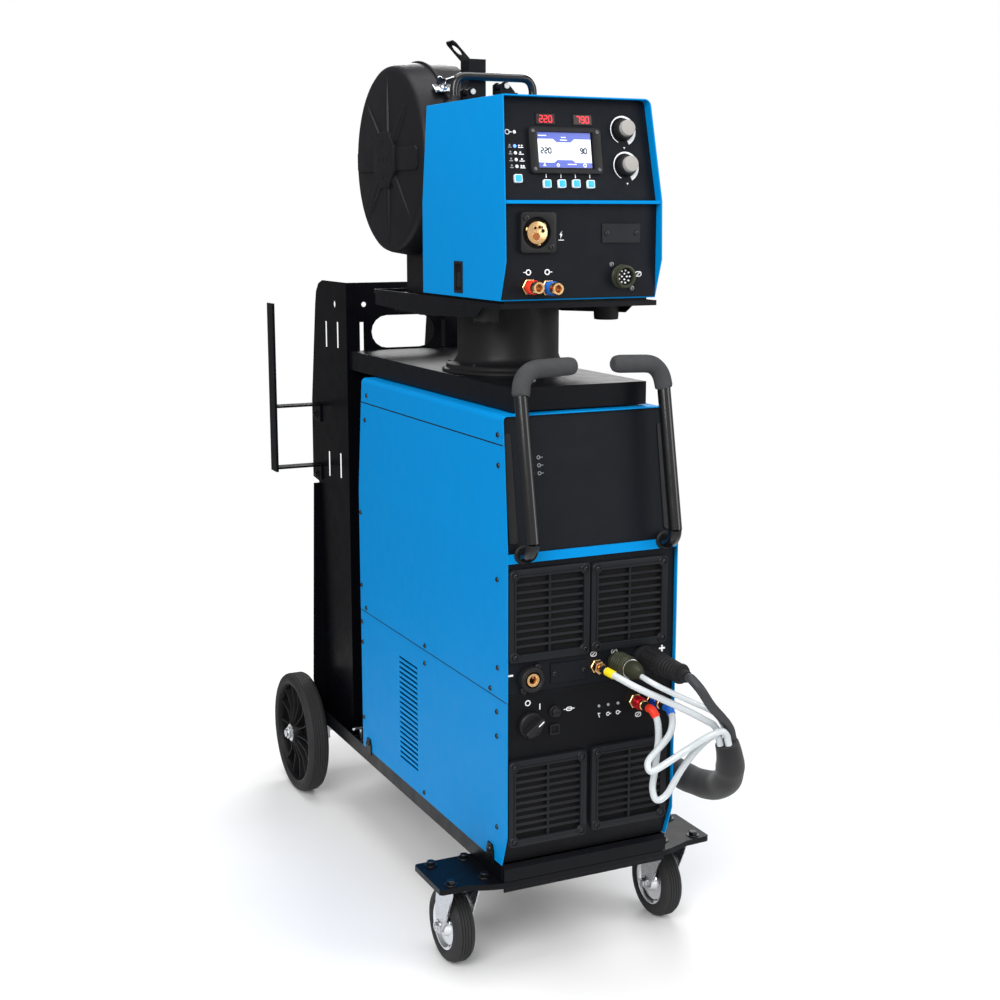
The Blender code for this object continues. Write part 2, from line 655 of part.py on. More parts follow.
def make_control_panel():
    levels = []
    for z in (CONTROL_Z + 0.0003, FEEDER_TOP - SHEET - GAP):
        half, _ = feeder_level(z)
        y = CONTROL_Y + CONTROL_SLOPE * (z - CONTROL_Z)
        levels.append((z, -half + SHEET + 2 * GAP, half - SHEET - GAP, y, y + 0.0025))
    holes = [plate(rectangle(BUTTON_SIZE[0] + 0.0012, BUTTON_SIZE[1] + 0.0012), 0.02, on_panel(x, z),
                   X_AXIS, panel_up()) for x, z in BUTTONS.values()]
    part("control_panel", without(loft(levels), together(holes)), "black_plastic")
    for name, (x, z) in BUTTONS.items():
        cap = plate(rectangle(*BUTTON_SIZE), 0.008, on_panel(x, z, 0.0005), X_AXIS, panel_up())
        part(f"button_{name}", cap, "pale_blue", on_panel(x, z))
    bezel = plate(rectangle(0.123, 0.0700), 0.006, on_panel(-0.0213, 1.3018, 0.003 + GAP), X_AXIS, panel_up())
    part("display_unit", bezel, "black_plastic")
    knob = [(0, 0), (0.016, 0), (0.016, 0.009), (0.0145, 0.012), (0.0125, 0.0125), (0.0115, 0.020), (0, 0.020)]
    for name, x, z in (("upper", 0.0826, 1.3352), ("lower", 0.0837, 1.2810)):
        seat = on_panel(x, z, GAP)
        part(f"knob_{name}", turned(knob, 24, False, seat, -panel_inward()), "taupe", seat)


def make_lower_panel():
    half = FEEDER_HALF - SHEET - 2 * GAP
    face = 0.055
    body = box((-half, half), (face, face + 0.003), (FEEDER_BOTTOM + SHEET + GAP, 1.2235 - GAP))
    throat = cylinder((WIRE_X, 0.04, WIRE_Z), (WIRE_X, 0.08, WIRE_Z), 0.006, 12)
    part("lower_panel", without(body, throat), "black_plastic")
    flange = box((-0.1063, -0.0463), (face - 0.006, face - GAP), (1.1505, 1.2115))
    boss = cylinder((-0.0792, face - 0.002, 1.1805), (-0.0792, TORCH_FACE, 1.1805), 0.018, 24)
    bore = cylinder((-0.0792, 0.0, 1.1805), (-0.0792, 0.1, 1.1805), 0.0018, 10)
    part("torch_connector", without(union(flange, boss), bore), "brass")


def make_carry_handle():
    x0, x1, y, top = -0.102, 0.040, 0.300, 1.4275
    base = FEEDER_TOP + GAP + 0.0002
    route = [(x0, y, base), (x0, y, top - 0.012), (x0 + 0.004, y, top - 0.004), (x0 + 0.012, y, top),
             (x1 - 0.012, y, top), (x1 - 0.004, y, top - 0.004), (x1, y, top - 0.012), (x1, y, base)]
    part("carry_handle", evaluated(tube([Vector(p) for p in route], 0.0060, 3)), "black_plastic")


def make_lifting_bracket():
    """Angle with two legs, whose side leg ends in a leaning tab with a lifting hole."""
    base = FEEDER_TOP + GAP
    bend = 1.457
    side, front = -0.0672, 0.3180
    angle = [(side, front), (-0.037, front), (-0.037, front + 0.003), (side + 0.003, front + 0.003),
             (side + 0.003, 0.352), (side, 0.352)]
    legs = plate(angle, bend - base - 0.001, (0, 0, (base + 0.001 + bend) / 2), X_AXIS, Y_AXIS)
    foot = box((side + 0.001, -0.038), (front + 0.001, 0.351), (base, base + 0.003))
    lean = Vector((-1, 0, 1)).normalized()
    middle = Vector((side + 0.0015, 0.335, bend - 0.0015))
    tab = plate([(-0.0165, 0), (0.0165, 0), (0.0165, 0.036), (0.012, 0.041), (-0.012, 0.041), (-0.0165, 0.036)],
                0.0028, middle, Y_AXIS, lean)
    across = lean.cross(Y_AXIS)
    hole = middle + lean * 0.022
    bore = cylinder(hole - across * 0.01, hole + across * 0.01, 0.011, 20)
    part("lifting_bracket", without(union(legs, foot, tab), bore), "black_paint")


def make_spool_housing():
    centre = (0, SPOOL_Y, SPOOL_Z)
    outline = [(FEEDER_REAR + 0.001, 1.387)]
    for k in range(36):
        angle = math.radians(-180 + 305 * k / 35)
        outline.append((SPOOL_Y + DRUM_R * math.cos(angle), SPOOL_Z + DRUM_R * math.sin(angle)))
    foot = box((-0.076, -0.024), (0.455, 0.575), (TRAY_FLOOR + SHEET + GAP, 1.150))
    outer = union(side_plate(outline, RING_X, -0.020), foot)
    bowl = cylinder((RING_X - 0.01, *centre[1:]), (-0.0225, *centre[1:]), DRUM_R - 0.0030, 40)
    spindle = cylinder((-0.0210, *centre[1:]), (-0.1270, *centre[1:]), 0.024, 20)
    wire = cylinder((WIRE_X + 0.002, 0.35, WIRE_Z), (WIRE_X + 0.002, 0.45, WIRE_Z), 0.006, 12)
    part("spool_housing", without(union(without(outer, bowl), spindle), wire), "black_plastic")


def make_drum_cover():
    profile = [(0, -0.142), (0.040, -0.142), (0.050, -0.131), (0.150, -0.131), (0.158, -0.128),
               (DRUM_R, RING_X - GAP), (DRUM_R - 0.0025, RING_X - GAP), (0.1555, -0.1262), (0.149, -0.129),
               (0.049, -0.129), (0.039, -0.140), (0, -0.140)]
    cover = turned(profile, 36, False, (0, SPOOL_Y, SPOOL_Z), X_AXIS)
    part("drum_cover", cover, "black_plastic", (RING_X, SPOOL_Y, SPOOL_Z))


def make_wire_spool():
    x0, x1 = SPOOL_X
    profile = [(0.0255, x0), (0.149, x0), (0.149, x0 + 0.003), (0.132, x0 + 0.003), (0.132, x1 - 0.003),
               (0.149, x1 - 0.003), (0.149, x1), (0.0255, x1)]
    spool = turned(profile, 28, True, (0, SPOOL_Y, SPOOL_Z), X_AXIS)
    part("wire_spool", spool, "copper", (x0, SPOOL_Y, SPOOL_Z))


def make_drum_latch():
    """Draw latch across the ring; its wing turns about a radial pin."""
    angle = math.radians(125)
    out = Vector((0, math.cos(angle), math.sin(angle)))
    seat = Vector((RING_X, SPOOL_Y, SPOOL_Z)) + out * (DRUM_R + GAP) + X_AXIS.cross(out) * 0.040
    along = out.cross(X_AXIS)
    base = plate(rectangle(0.036, 0.022), 0.003, seat + out * 0.0017, X_AXIS, along)
    pin = cylinder(seat + out * 0.001, seat + out * 0.012, 0.005, 16)
    wing = plate(rectangle(0.026, 0.004), 0.010, seat + out * 0.0165, X_AXIS, along)
    post = plate(rectangle(0.010, 0.004), 0.006, seat + out * 0.0125, X_AXIS, along)
    part("drum_latch", union(base, pin, post, wing), "zinc", seat)


def make_drive_rolls():
    for name, z in (("drive_roll", WIRE_Z - 0.0185), ("pressure_roll", WIRE_Z + 0.0190)):
        profile = [(0, -0.0900), (0.009, -0.0900), (0.009, -0.0850), (0.0175, -0.0850), (0.0175, -0.0795),
                   (0.0165, -0.0785), (0.0175, -0.0775), (0.0175, -0.0715), (0.006, -0.0715), (0.006, 0.004),
                   (0, 0.004)]
        part(name, turned(profile, 24, False, (0, 0.200, z), X_AXIS), "steel", (WIRE_X, 0.200, z))


# Cords and hoses

MOUTH = Vector((0.167, -0.130, 0.396))       # where the hoses enter the sleeve
MOUTH_AXIS = Vector((0.30, 0.05, -0.95)).normalized()


def into_mouth(front, right):
    """Last points of a hose, straight into the sleeve's open face beside its axis."""
    across = MOUTH_AXIS.cross(Z_AXIS).normalized()
    seat = MOUTH + across * front + across.cross(MOUTH_AXIS) * right
    return [seat - MOUTH_AXIS * back for back in (0.020, 0.012, 0.003)]


# Radius, material, number of points, route
CORDS = {
    "power_cable": (0.0075, "rubber", 12, [
        (0.094, -0.1290, 0.5116), (0.0941, -0.138, 0.5112), (0.102, -0.152, 0.497), (0.122, -0.149, 0.470),
        (0.146, -0.141, 0.446), (0.161, -0.135, 0.431)] + into_mouth(0.003, 0.0095)),
    "control_cable": (0.0045, "clear_hose", 18, [
        (0.0444, -0.010, 0.508), (0.0445, -0.050, 0.506), (0.050, -0.085, 0.500), (0.068, -0.103, 0.489),
        (0.105, -0.114, 0.469), (0.143, -0.118, 0.449), (0.158, -0.119, 0.436)] + into_mouth(-0.0095, 0.009)),
    "gas_hose": (0.0055, "clear_hose", 18, [
        (0.0068, -0.015, 0.5058), (0.0075, -0.030, 0.5055), (0.013, -0.050, 0.502), (0.034, -0.080, 0.489),
        (0.067, -0.098, 0.472), (0.108, -0.113, 0.450), (0.136, -0.119, 0.433), (0.147, -0.120, 0.426)]
        + into_mouth(-0.0125, -0.003)),
    "return_hose": (0.0055, "clear_hose", 30, [
        (0.0788, -0.0390, 0.4385), (0.0788, -0.0500, 0.4380), (0.083, -0.058, 0.425), (0.084, -0.062, 0.400),
        (0.080, -0.065, 0.376), (0.074, -0.069, 0.345), (0.068, -0.073, 0.318), (0.071, -0.081, 0.301),
        (0.086, -0.087, 0.310), (0.104, -0.094, 0.345), (0.120, -0.104, 0.375), (0.134, -0.120, 0.401),
        (0.142, -0.130, 0.412)] + into_mouth(-0.001, -0.0125)),
    "supply_hose": (0.0055, "clear_hose", 28, [
        (0.1107, -0.0390, 0.4357), (0.1107, -0.0500, 0.4350), (0.109, -0.062, 0.424), (0.100, -0.074, 0.411),
        (0.088, -0.081, 0.400), (0.068, -0.086, 0.386), (0.048, -0.091, 0.371), (0.048, -0.099, 0.358),
        (0.066, -0.104, 0.366), (0.100, -0.117, 0.390), (0.124, -0.133, 0.411), (0.139, -0.141, 0.420),
        (0.149, -0.143, 0.422)] + into_mouth(0.0105, -0.005)),
    "hose_sleeve": (0.0235, "sleeve", 52, [
        MOUTH, MOUTH + MOUTH_AXIS * 0.019, (0.1800, -0.122, 0.354), (0.1860, -0.106, 0.326),
        (0.1870, -0.075, 0.304), (0.1830, -0.030, 0.294), (0.1790, 0.030, 0.292), (0.1790, 0.120, 0.296),
        (0.1790, 0.250, 0.306), (0.1800, 0.400, 0.333), (0.1810, 0.520, 0.380), (0.1820, 0.600, 0.445),
        (0.1830, 0.650, 0.525), (0.1840, 0.680, 0.625), (0.1840, 0.694, 0.740), (0.1830, 0.700, 0.830),
        (0.1810, 0.699, 0.892), (0.1730, 0.688, 0.942), (0.1520, 0.659, 0.979), (0.1230, 0.619, 0.992),
        (0.0800, 0.561, 0.993), (0.0400, 0.505, 0.992), (0.0110, 0.447, 0.992), (0.0000, 0.4015, 0.992)]),
}
MOUTH_TAPER = (0.80, 0.90)                   # the sleeve is narrower at its open end


def make_cords():
    for name, (radius, key, count, route) in CORDS.items():
        widths = [1.0] * count
        if name == "hose_sleeve":
            widths[:2] = MOUTH_TAPER
        part(name, tube(smooth_path(route, count), radius, 2, widths), key)


make_tray()
make_caster_plate()
make_rear_axle()
make_rear_wheels()
make_casters()
make_upright()
make_cable_hook()
make_shelf()
make_pivot()
make_platform()
make_handles()
make_cooler_case()
make_cooler_front()
make_power_case()
make_top_cover()
make_power_front()
make_grille("grille_upper_left", (-0.149, -0.0078), (0.529, 0.6768))
make_grille("grille_upper_right", (-0.0058, 0.1335), (0.530, 0.6745))
make_grille("grille_lower_left", (-0.149, -0.0104), (0.2285, 0.371))
make_grille("grille_lower_right", (-0.002, 0.138), (0.232, 0.3725))
make_front_fittings()
make_inner_parts()
make_feeder_shell()
make_feeder_door()
make_control_panel()
make_lower_panel()
make_carry_handle()
make_lifting_bracket()
make_spool_housing()
make_drum_cover()
make_wire_spool()
make_drum_latch()
make_drive_rolls()
make_cords()
CUTTERS.hide_render = True
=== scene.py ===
"""Looks of the water-cooled MIG welding set on its cart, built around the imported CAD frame.

Lengths are metres and the front faces -Y. Depths in this file are measured rearwards from
the lower front face of the power source, as in the CAD source; spot() turns them into the
frame's own Y.
"""

import math

import bmesh
import bpy
from mathutils import Matrix, Vector


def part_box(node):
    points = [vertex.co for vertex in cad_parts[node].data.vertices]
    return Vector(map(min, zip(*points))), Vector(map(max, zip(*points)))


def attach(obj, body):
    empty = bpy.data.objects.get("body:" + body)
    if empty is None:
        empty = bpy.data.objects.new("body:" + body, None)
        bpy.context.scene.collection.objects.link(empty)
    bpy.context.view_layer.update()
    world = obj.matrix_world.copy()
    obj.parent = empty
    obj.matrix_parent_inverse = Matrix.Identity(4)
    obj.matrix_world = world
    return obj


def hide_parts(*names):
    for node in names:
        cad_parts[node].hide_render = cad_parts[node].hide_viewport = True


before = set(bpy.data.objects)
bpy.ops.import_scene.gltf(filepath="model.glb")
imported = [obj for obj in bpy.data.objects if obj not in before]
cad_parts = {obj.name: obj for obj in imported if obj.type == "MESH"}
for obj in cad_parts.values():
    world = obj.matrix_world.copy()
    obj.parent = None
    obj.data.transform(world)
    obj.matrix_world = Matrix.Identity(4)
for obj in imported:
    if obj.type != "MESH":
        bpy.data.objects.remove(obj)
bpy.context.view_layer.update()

FRONT = 0.51925                # depth of the frame's origin behind the front face
X_AXIS = Vector((1, 0, 0))
Y_AXIS = Vector((0, 1, 0))
Z_AXIS = Vector((0, 0, 1))

CASE_HALF = 0.152              # half the width of the cases
CASE_DEPTH = 0.64
KINK_Z = 0.7                   # above this height the case leans back
CASE_TOP = 0.9085
PANEL_Y = 0.006                # front panels sit this far behind the case's edge
UPPER_SLOPE = 0.0345 / (CASE_TOP - KINK_Z)
SIDE_SLOPE = 0.009 / (CASE_TOP - KINK_Z)
CONTROL_Y = 0.058              # depth and height of a point on the control panel
CONTROL_Z = 1.229
CONTROL_SLOPE = 0.177          # its lean, depth over height
LOWER_PANEL_Y = 0.055
WHEEL_R = 0.125
AXLE_Y = 0.958                 # rear axle
PIVOT_Y = 0.31                 # the feeder swivels about this depth
SPOOL_Y = 0.522
SPOOL_Z = 1.301
DRUM_R = 0.165                 # drum cover's radius
RING_X = -0.08                 # the cover's open edge
KNOBS = {"upper": (0.0826, 1.3352), "lower": (0.0837, 1.281)}
SLATS = 10                     # rows of slots in each grille
SEAT = 0.0004                  # fittings start this far off their panel
PROUD = 0.0002                 # marks stand this far off their panel
SHARP = math.radians(32)       # edges sharper than this stay crisp


# Places and directions

def move(x, y, z):
    return Matrix.Translation((x, y, z))


def spin_z(angle):
    return Matrix.Rotation(angle, 4, "Z")


def mm(*points):
    """Points typed in millimetres, as a list in metres."""
    return [tuple(n / 1000 for n in point) for point in points]


def spot(x, y, z):
    return Vector((x, y - FRONT, z))


def facing(across, up):
    """Rotation whose local X and Y run along the two directions."""
    u, v = Vector(across).normalized(), Vector(up).normalized()
    return Matrix((u, v, u.cross(v))).transposed().to_4x4()


TO_FRONT = facing(X_AXIS, Z_AXIS)
TO_REAR = facing(-X_AXIS, Z_AXIS)
TO_LEFT = facing(-Y_AXIS, Z_AXIS)
TO_RIGHT = facing(Y_AXIS, Z_AXIS)
TO_TOP = facing(X_AXIS, Y_AXIS)


def new_object(name, data):
    ob = bpy.data.objects.new(name, data)
    bpy.context.scene.collection.objects.link(ob)
    return ob


def place(turn, x, y, z, spin=0.0):
    return Matrix.Translation(spot(x, y, z)) @ turn @ spin_z(math.radians(spin))


def on_front(x, z, out=PROUD, spin=0.0):
    """Place on the power source's lower front panel."""
    return place(TO_FRONT, x, PANEL_Y - out, z, spin)


def on_lean(slope, x, y, z, out):
    """Place on a panel that leans back; spot x, y, z lies on its face."""
    turn = facing(X_AXIS, (0, slope, 1))
    return Matrix.Translation(spot(x, y, z) + turn @ Vector((0, 0, out))) @ turn


def on_upper(x, z):
    """Place on the power source's upper front panel."""
    return on_lean(UPPER_SLOPE, x, PANEL_Y + UPPER_SLOPE * (z - KINK_Z), z, PROUD)


def on_control(x, z, out=PROUD):
    """Place on the feeder's sloping control panel."""
    return on_lean(CONTROL_SLOPE, x, CONTROL_Y + CONTROL_SLOPE * (z - CONTROL_Z), z, out)


def on_lower(x, z, out=PROUD):
    """Place on the feeder's lower front panel."""
    return place(TO_FRONT, x, LOWER_PANEL_Y - out, z)


def on_side(sign, y, z, out=0.0):
    """Place on the cases' left (-1) or right (+1) side."""
    x = CASE_HALF - SIDE_SLOPE * max(0.0, z - KINK_Z) + out
    return place(TO_RIGHT if sign > 0 else TO_LEFT, sign * x, y, z)


# Finishes

FINISHES = {}


class Finish:
    """Principled material with node helpers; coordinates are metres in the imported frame."""

    def __init__(self, name, metallic=0.0):
        self.material = FINISHES[name] = bpy.data.materials.new(name)
        self.material.use_nodes = True
        self.tree = self.material.node_tree
        self.shader = self.tree.nodes["Principled BSDF"]
        self.coords = self.tree.nodes.new("ShaderNodeTexCoord")
        self.set(self.shader, ("Metallic", metallic))

    def link(self, source, target):
        self.tree.links.new(source, target)

    def set(self, node, *numbers):
        for name, number in numbers:
            node.inputs[name].default_value = number

    def node(self, kind, *numbers, **links):
        made = self.tree.nodes.new("ShaderNode" + kind)
        self.set(made, *numbers)
        for name, source in links.items():
            self.link(source, made.inputs[name])
        return made

    def stretched(self, scale, source="Object"):
        return self.node("Mapping", ("Scale", scale),
                Vector=self.coords.outputs[source]).outputs["Vector"]

    def noise(self, scale, detail=2.0, vector=None):
        vector = vector or self.coords.outputs["Object"]
        return self.node("TexNoise", ("Scale", scale), ("Detail", detail), Vector=vector).outputs["Fac"]

    def wave(self, scale, vector):
        node = self.node("TexWave", ("Scale", scale), Vector=vector)
        node.bands_direction = "X"
        return node.outputs["Fac"]

    def maths(self, operation, a, b):
        node = self.node("Math")
        node.operation = operation
        for socket, value in zip(node.inputs, (a, b)):
            if isinstance(value, (int, float)):
                socket.default_value = value
            else:
                self.link(value, socket)
        return node.outputs[0]

    def spread(self, value, low, high, start=0.3, end=0.7):
        """The value's range from start to end made to run from low to high."""
        return self.node("MapRange", ("From Min", start), ("From Max", end), ("To Min", low),
                ("To Max", high), Value=value).outputs["Result"]

    def colour(self, factor, dark, light):
        node = self.node("Mix")
        node.data_type = "RGBA"
        self.set(node, (6, (*dark, 1)), (7, (*light, 1)))
        self.link(factor, node.inputs[0])
        self.link(node.outputs[2], self.shader.inputs["Base Color"])

    def roughness(self, value, low, high):
        self.link(self.spread(value, low, high), self.shader.inputs["Roughness"])

    def bump(self, height, strength, distance=0.001):
        node = self.node("Bump", ("Strength", strength), ("Distance", distance), Height=height)
        self.link(node.outputs["Normal"], self.shader.inputs["Normal"])

    def glow(self, colour, strength):
        self.set(self.shader, ("Emission Color", (*colour, 1)), ("Emission Strength", strength))


def shade(colour, factor):
    return tuple(min(1.0, c * factor) for c in colour)


def coated(name, colour, rough, grain, bump, vary, metallic=0.0, coat=0.0, patch=7.0, shine=0.22):
    """Paint or moulded plastic: faint patches, uneven gloss and a fine grain."""
    made = Finish(name, metallic)
    made.colour(made.noise(patch, 3.0), shade(colour, 1 - vary), shade(colour, 1 + vary))
    made.roughness(made.noise(patch * 5, 4.0), rough - 0.06, rough + 0.06)
    made.bump(made.noise(grain, 3.0), bump)
    made.set(made.shader, ("Specular IOR Level", shine), ("Coat Weight", coat), ("Coat Roughness", 0.12))


def metal(name, colour, rough, stretch, vary=0.1, bump=0.04):
    """Bare or plated metal with fine streaks along the low numbers of the stretch."""
    made = Finish(name, 1.0)
    streaks = made.noise(12.0, 5.0, made.stretched(stretch))
    made.colour(streaks, shade(colour, 1 - vary), shade(colour, 1 + vary * 0.5))
    made.roughness(streaks, rough - 0.07, rough + 0.09)
    made.bump(streaks, bump, 0.0004)


def braided_hose():
    """Clear hose wall over a white braid; U runs in metres along it and V round it."""
    made = Finish("clear_braided_hose")
    left = made.wave(1.0, made.stretched((140, 1.885, 1), "UV"))
    right = made.wave(1.0, made.stretched((140, -1.885, 1), "UV"))
    strands = made.spread(made.maths("MAXIMUM", left, right), 0, 1, 0.72, 0.97)
    made.colour(strands, (0.68, 0.74, 0.79), (0.93, 0.94, 0.88))
    made.roughness(made.noise(60, 3.0), 0.12, 0.24)
    made.bump(strands, 0.15, 0.0004)
    made.set(made.shader, ("Transmission Weight", 0.3), ("Coat Weight", 0.5), ("Coat Roughness", 0.08))


def woven_sleeve():
    """Dark padded fabric: a fine rib over soft creases."""
    made = Finish("padded_sleeve")
    weave = made.wave(1.0, made.stretched((260, 0, 1), "UV"))
    fuzz = made.noise(900, 3.0)
    made.set(made.shader, ("Specular IOR Level", 0.15), ("Sheen Weight", 0.25))
    made.colour(made.noise(25, 4.0), (0.008, 0.008, 0.009), (0.022, 0.022, 0.024))
    made.roughness(fuzz, 0.72, 0.92)
    made.bump(made.maths("ADD", made.maths("MULTIPLY", weave, 0.5), fuzz), 0.35, 0.0008)


def wound_wire():
    """Layers of bright wire lying side by side across the spool."""
    made = Finish("wound_wire", 1.0)
    turns = made.wave(1.0, made.stretched((210, 0, 0)))
    # The colour runs from dark to bright across each turn: painted shade in the grooves between neighbouring
    # wires.
    made.colour(turns, (0.3, 0.15, 0.08), (0.8, 0.46, 0.28))
    made.roughness(made.noise(40, 3.0), 0.22, 0.38)
    made.bump(turns, 0.6, 0.0008)


def lit(name, colour, strength, vary=0.08):
    """Glowing surface of a lamp or screen, with the faint grid of a display."""
    made = Finish(name)
    made.colour(made.noise(900, 1.0), shade(colour, 1 - vary), shade(colour, 1 + vary))
    made.roughness(made.noise(300, 2.0), 0.14, 0.24)
    made.bump(made.noise(1500, 1.0), 0.02, 0.0002)
    made.glow(colour, strength)


coated("blue_paint", (0.0004, 0.232, 0.59), 0.42, 1500, 0.05, 0.02, shine=0.05)
coated("panel_black", (0.0045, 0.006, 0.009), 0.5, 1300, 0.34, 0.14, shine=0.13)
coated("panel_dark", (0.0032, 0.0034, 0.0045), 0.5, 1300, 0.3, 0.12, shine=0.12)
coated("grille_black", (0.009, 0.0097, 0.012), 0.4, 900, 0.14, 0.12, shine=0.18)
coated("plastic_black", (0.01, 0.01, 0.011), 0.44, 900, 0.14, 0.15)
coated("cart_black", (0.0026, 0.0029, 0.0044), 0.34, 1200, 0.06, 0.1, shine=0.13)
# Black paint of the upright: the same paint as cart_black, made darker and less glossy, so part of its
# darkness is painted shade for the upright's unlit side.
coated("upright_black_painted_shade", (0.0018, 0.0019, 0.003), 0.3, 1200, 0.05, 0.1, shine=0.07)
# Flat dark finish for seams, display backings, a shelf arrow and the bottoms of slots, holes and openings; on
# those bottoms it is painted shade standing for their depth.
coated("slot_dark", (0.0025, 0.0025, 0.003), 0.7, 400, 0.1, 0.2)
coated("drum_plastic", (0.0085, 0.0085, 0.0105), 0.4, 700, 0.12, 0.12, shine=0.15)
coated("tyre_rubber", (0.022, 0.022, 0.023), 0.68, 500, 0.3, 0.22, patch=25.0)
coated("wheel_black", (0.005, 0.0052, 0.0058), 0.42, 700, 0.1, 0.12, shine=0.16)
coated("soft_rubber", (0.012, 0.012, 0.013), 0.62, 800, 0.18, 0.15)
coated("foam_grip", (0.05, 0.051, 0.054), 0.86, 1100, 0.55, 0.2, patch=40.0)
coated("handle_black", (0.005, 0.005, 0.006), 0.2, 600, 0.05, 0.1, coat=0.5)
coated("olive_shell", (0.04, 0.042, 0.026), 0.38, 900, 0.12, 0.2, metallic=0.3)
coated("taupe_cap", (0.33, 0.315, 0.3), 0.42, 900, 0.08, 0.06)
coated("white_print", (0.82, 0.83, 0.84), 0.5, 1200, 0.04, 0.04)
coated("grey_print", (0.3, 0.31, 0.32), 0.5, 1200, 0.04, 0.06)
coated("cyan_button", (0.03, 0.42, 0.76), 0.34, 700, 0.05, 0.05, coat=0.3)
coated("red_anodised", (0.42, 0.008, 0.018), 0.24, 600, 0.03, 0.1, metallic=0.75)
coated("blue_anodised", (0.01, 0.045, 0.3), 0.24, 600, 0.03, 0.1, metallic=0.75)
coated("red_plastic", (0.8, 0.045, 0.02), 0.36, 500, 0.05, 0.06)
coated("blue_plastic", (0.015, 0.14, 0.6), 0.36, 500, 0.05, 0.06)
coated("yellow_plastic", (0.86, 0.66, 0.015), 0.36, 500, 0.05, 0.05)
coated("cable_grey", (0.04, 0.041, 0.045), 0.46, 500, 0.1, 0.1)
coated("tank_white", (0.74, 0.75, 0.72), 0.36, 300, 0.06, 0.05)
metal("zinc", (0.66, 0.67, 0.69), 0.28, (20, 20, 60))
metal("chrome", (0.8, 0.81, 0.83), 0.13, (15, 15, 15), 0.04, 0.015)
metal("steel", (0.5, 0.5, 0.51), 0.3, (15, 60, 60))
metal("brass", (0.78, 0.49, 0.23), 0.24, (25, 60, 25), 0.14)
# Copper darker than the copper finish, for the insides of bores: the darkening is painted shade for their
# depth.
metal("bore_copper_painted_shade", (0.36, 0.13, 0.05), 0.36, (25, 60, 25), 0.2)
metal("dull_steel", (0.2, 0.2, 0.21), 0.36, (15, 60, 60))
metal("copper", (0.62, 0.24, 0.11), 0.3, (25, 60, 25), 0.2)
metal("screw_black", (0.055, 0.055, 0.06), 0.34, (40, 40, 40))
braided_hose()
woven_sleeve()
wound_wire()
lit("led_red", (1.0, 0.02, 0.03), 1.6)
lit("led_red_off", (0.02, 0.001, 0.002), 0.02)
lit("led_blue", (0.1, 0.25, 1.0), 2.0)
lit("screen_white", (0.8, 0.86, 0.92), 0.35, 0.03)
lit("screen_blue", (0.085, 0.115, 0.42), 0.35, 0.05)
lit("screen_ink", (0.02, 0.03, 0.05), 0.0)


# Outlines in a local plane

def rectangle(width, height):
    w, h = width / 2, height / 2
    return [(-w, -h), (w, -h), (w, h), (-w, h)]


def rounded(width, height, radius, steps=4):
    outline = []
    corners = ((1, -1, -90), (1, 1, 0), (-1, 1, 90), (-1, -1, 180))
    for sx, sy, first in corners:
        for k in range(steps + 1):
            angle = math.radians(first + 90 * k / steps)
            outline.append((sx * (width / 2 - radius) + radius * math.cos(angle),
                            sy * (height / 2 - radius) + radius * math.sin(angle)))
    return outline


def ngon(radius, sides=6, turn=0.0):
    return [(radius * math.cos(turn + math.tau * k / sides), radius * math.sin(turn + math.tau * k / sides))
            for k in range(sides)]


def growing_band(radius, thin, thick, first, last):
    """Part of a flat ring that widens from its first angle to its last, in degrees."""
    outer, inner, steps = [], [], 48
    for k in range(steps + 1):
        angle = math.radians(first + (last - first) * k / steps)
        half = (thin + (thick - thin) * (k / steps) ** 1.6) / 2
        outer.append(((radius + half) * math.cos(angle), (radius + half) * math.sin(angle)))
        inner.append(((radius - half) * math.cos(angle), (radius - half) * math.sin(angle)))
    return inner + outer[::-1]


def catmull(p0, p1, p2, p3, t):
    return 0.5 * (2 * p1 + (p2 - p0) * t + (2 * p0 - 5 * p1 + 4 * p2 - p3) * t ** 2
                  + (3 * p1 - p0 - 3 * p2 + p3) * t ** 3)


def smooth_path(route, count):
    """Points evenly spaced along a Catmull-Rom curve through the route."""
    pts = [Vector(p) for p in route]
    pts = [2 * pts[0] - pts[1]] + pts + [2 * pts[-1] - pts[-2]]
    dense = [catmull(*four, k / 16) for four in zip(pts, pts[1:], pts[2:], pts[3:]) for k in range(16)]
    dense.append(pts[-2])
    lengths = [0.0]
    for a, b in zip(dense, dense[1:]):
        lengths.append(lengths[-1] + (b - a).length)
    result = []
    at = 0
    for k in range(count):
        goal = lengths[-1] * k / (count - 1)
        while at < len(dense) - 2 and lengths[at + 1] < goal:
            at += 1
        result.append(dense[at].lerp(dense[at + 1], (goal - lengths[at]) / (lengths[at + 1] - lengths[at])))
    return result


# Shapes about a local origin, each a new bmesh

def prism(outline, depth, chamfer=0.0, segments=1):
    """Flat outline raised along local Z, with the edges of its top rounded off."""
    bm = bmesh.new()
    low = [bm.verts.new((x, y, 0)) for x, y in outline]
    high = [bm.verts.new((x, y, depth)) for x, y in outline]
    count = len(outline)
    for k in range(count):
        bm.faces.new((low[k], low[(k + 1) % count], high[(k + 1) % count], high[k]))
    bm.faces.new(low[::-1])
    top = bm.faces.new(high)
    if chamfer:
        bmesh.ops.bevel(bm, geom=list(top.edges), offset=chamfer, segments=segments, profile=0.6,
                        affect="EDGES", clamp_overlap=True)
    return bm


def ring_prism(outer, inner, depth, chamfer=0.0):
    """Frame between two outlines of the same number of points, raised along local Z."""
    bm = bmesh.new()
    loops = [[bm.verts.new((x, y, z)) for x, y in outline]
             for outline, z in ((outer, 0), (outer, depth), (inner, depth), (inner, 0))]
    count = len(outer)
    for a, b in zip(loops, loops[1:] + loops[:1]):
        for k in range(count):
            bm.faces.new((a[k], a[(k + 1) % count], b[(k + 1) % count], b[k]))
    if chamfer:
        edges = [e for e in bm.edges if all(abs(v.co.z - depth) < 1e-7 for v in e.verts)
                 and (all(v in loops[1] for v in e.verts) or all(v in loops[2] for v in e.verts))]
        bmesh.ops.bevel(bm, geom=edges, offset=chamfer, segments=2, profile=0.6, affect="EDGES")
    return bm


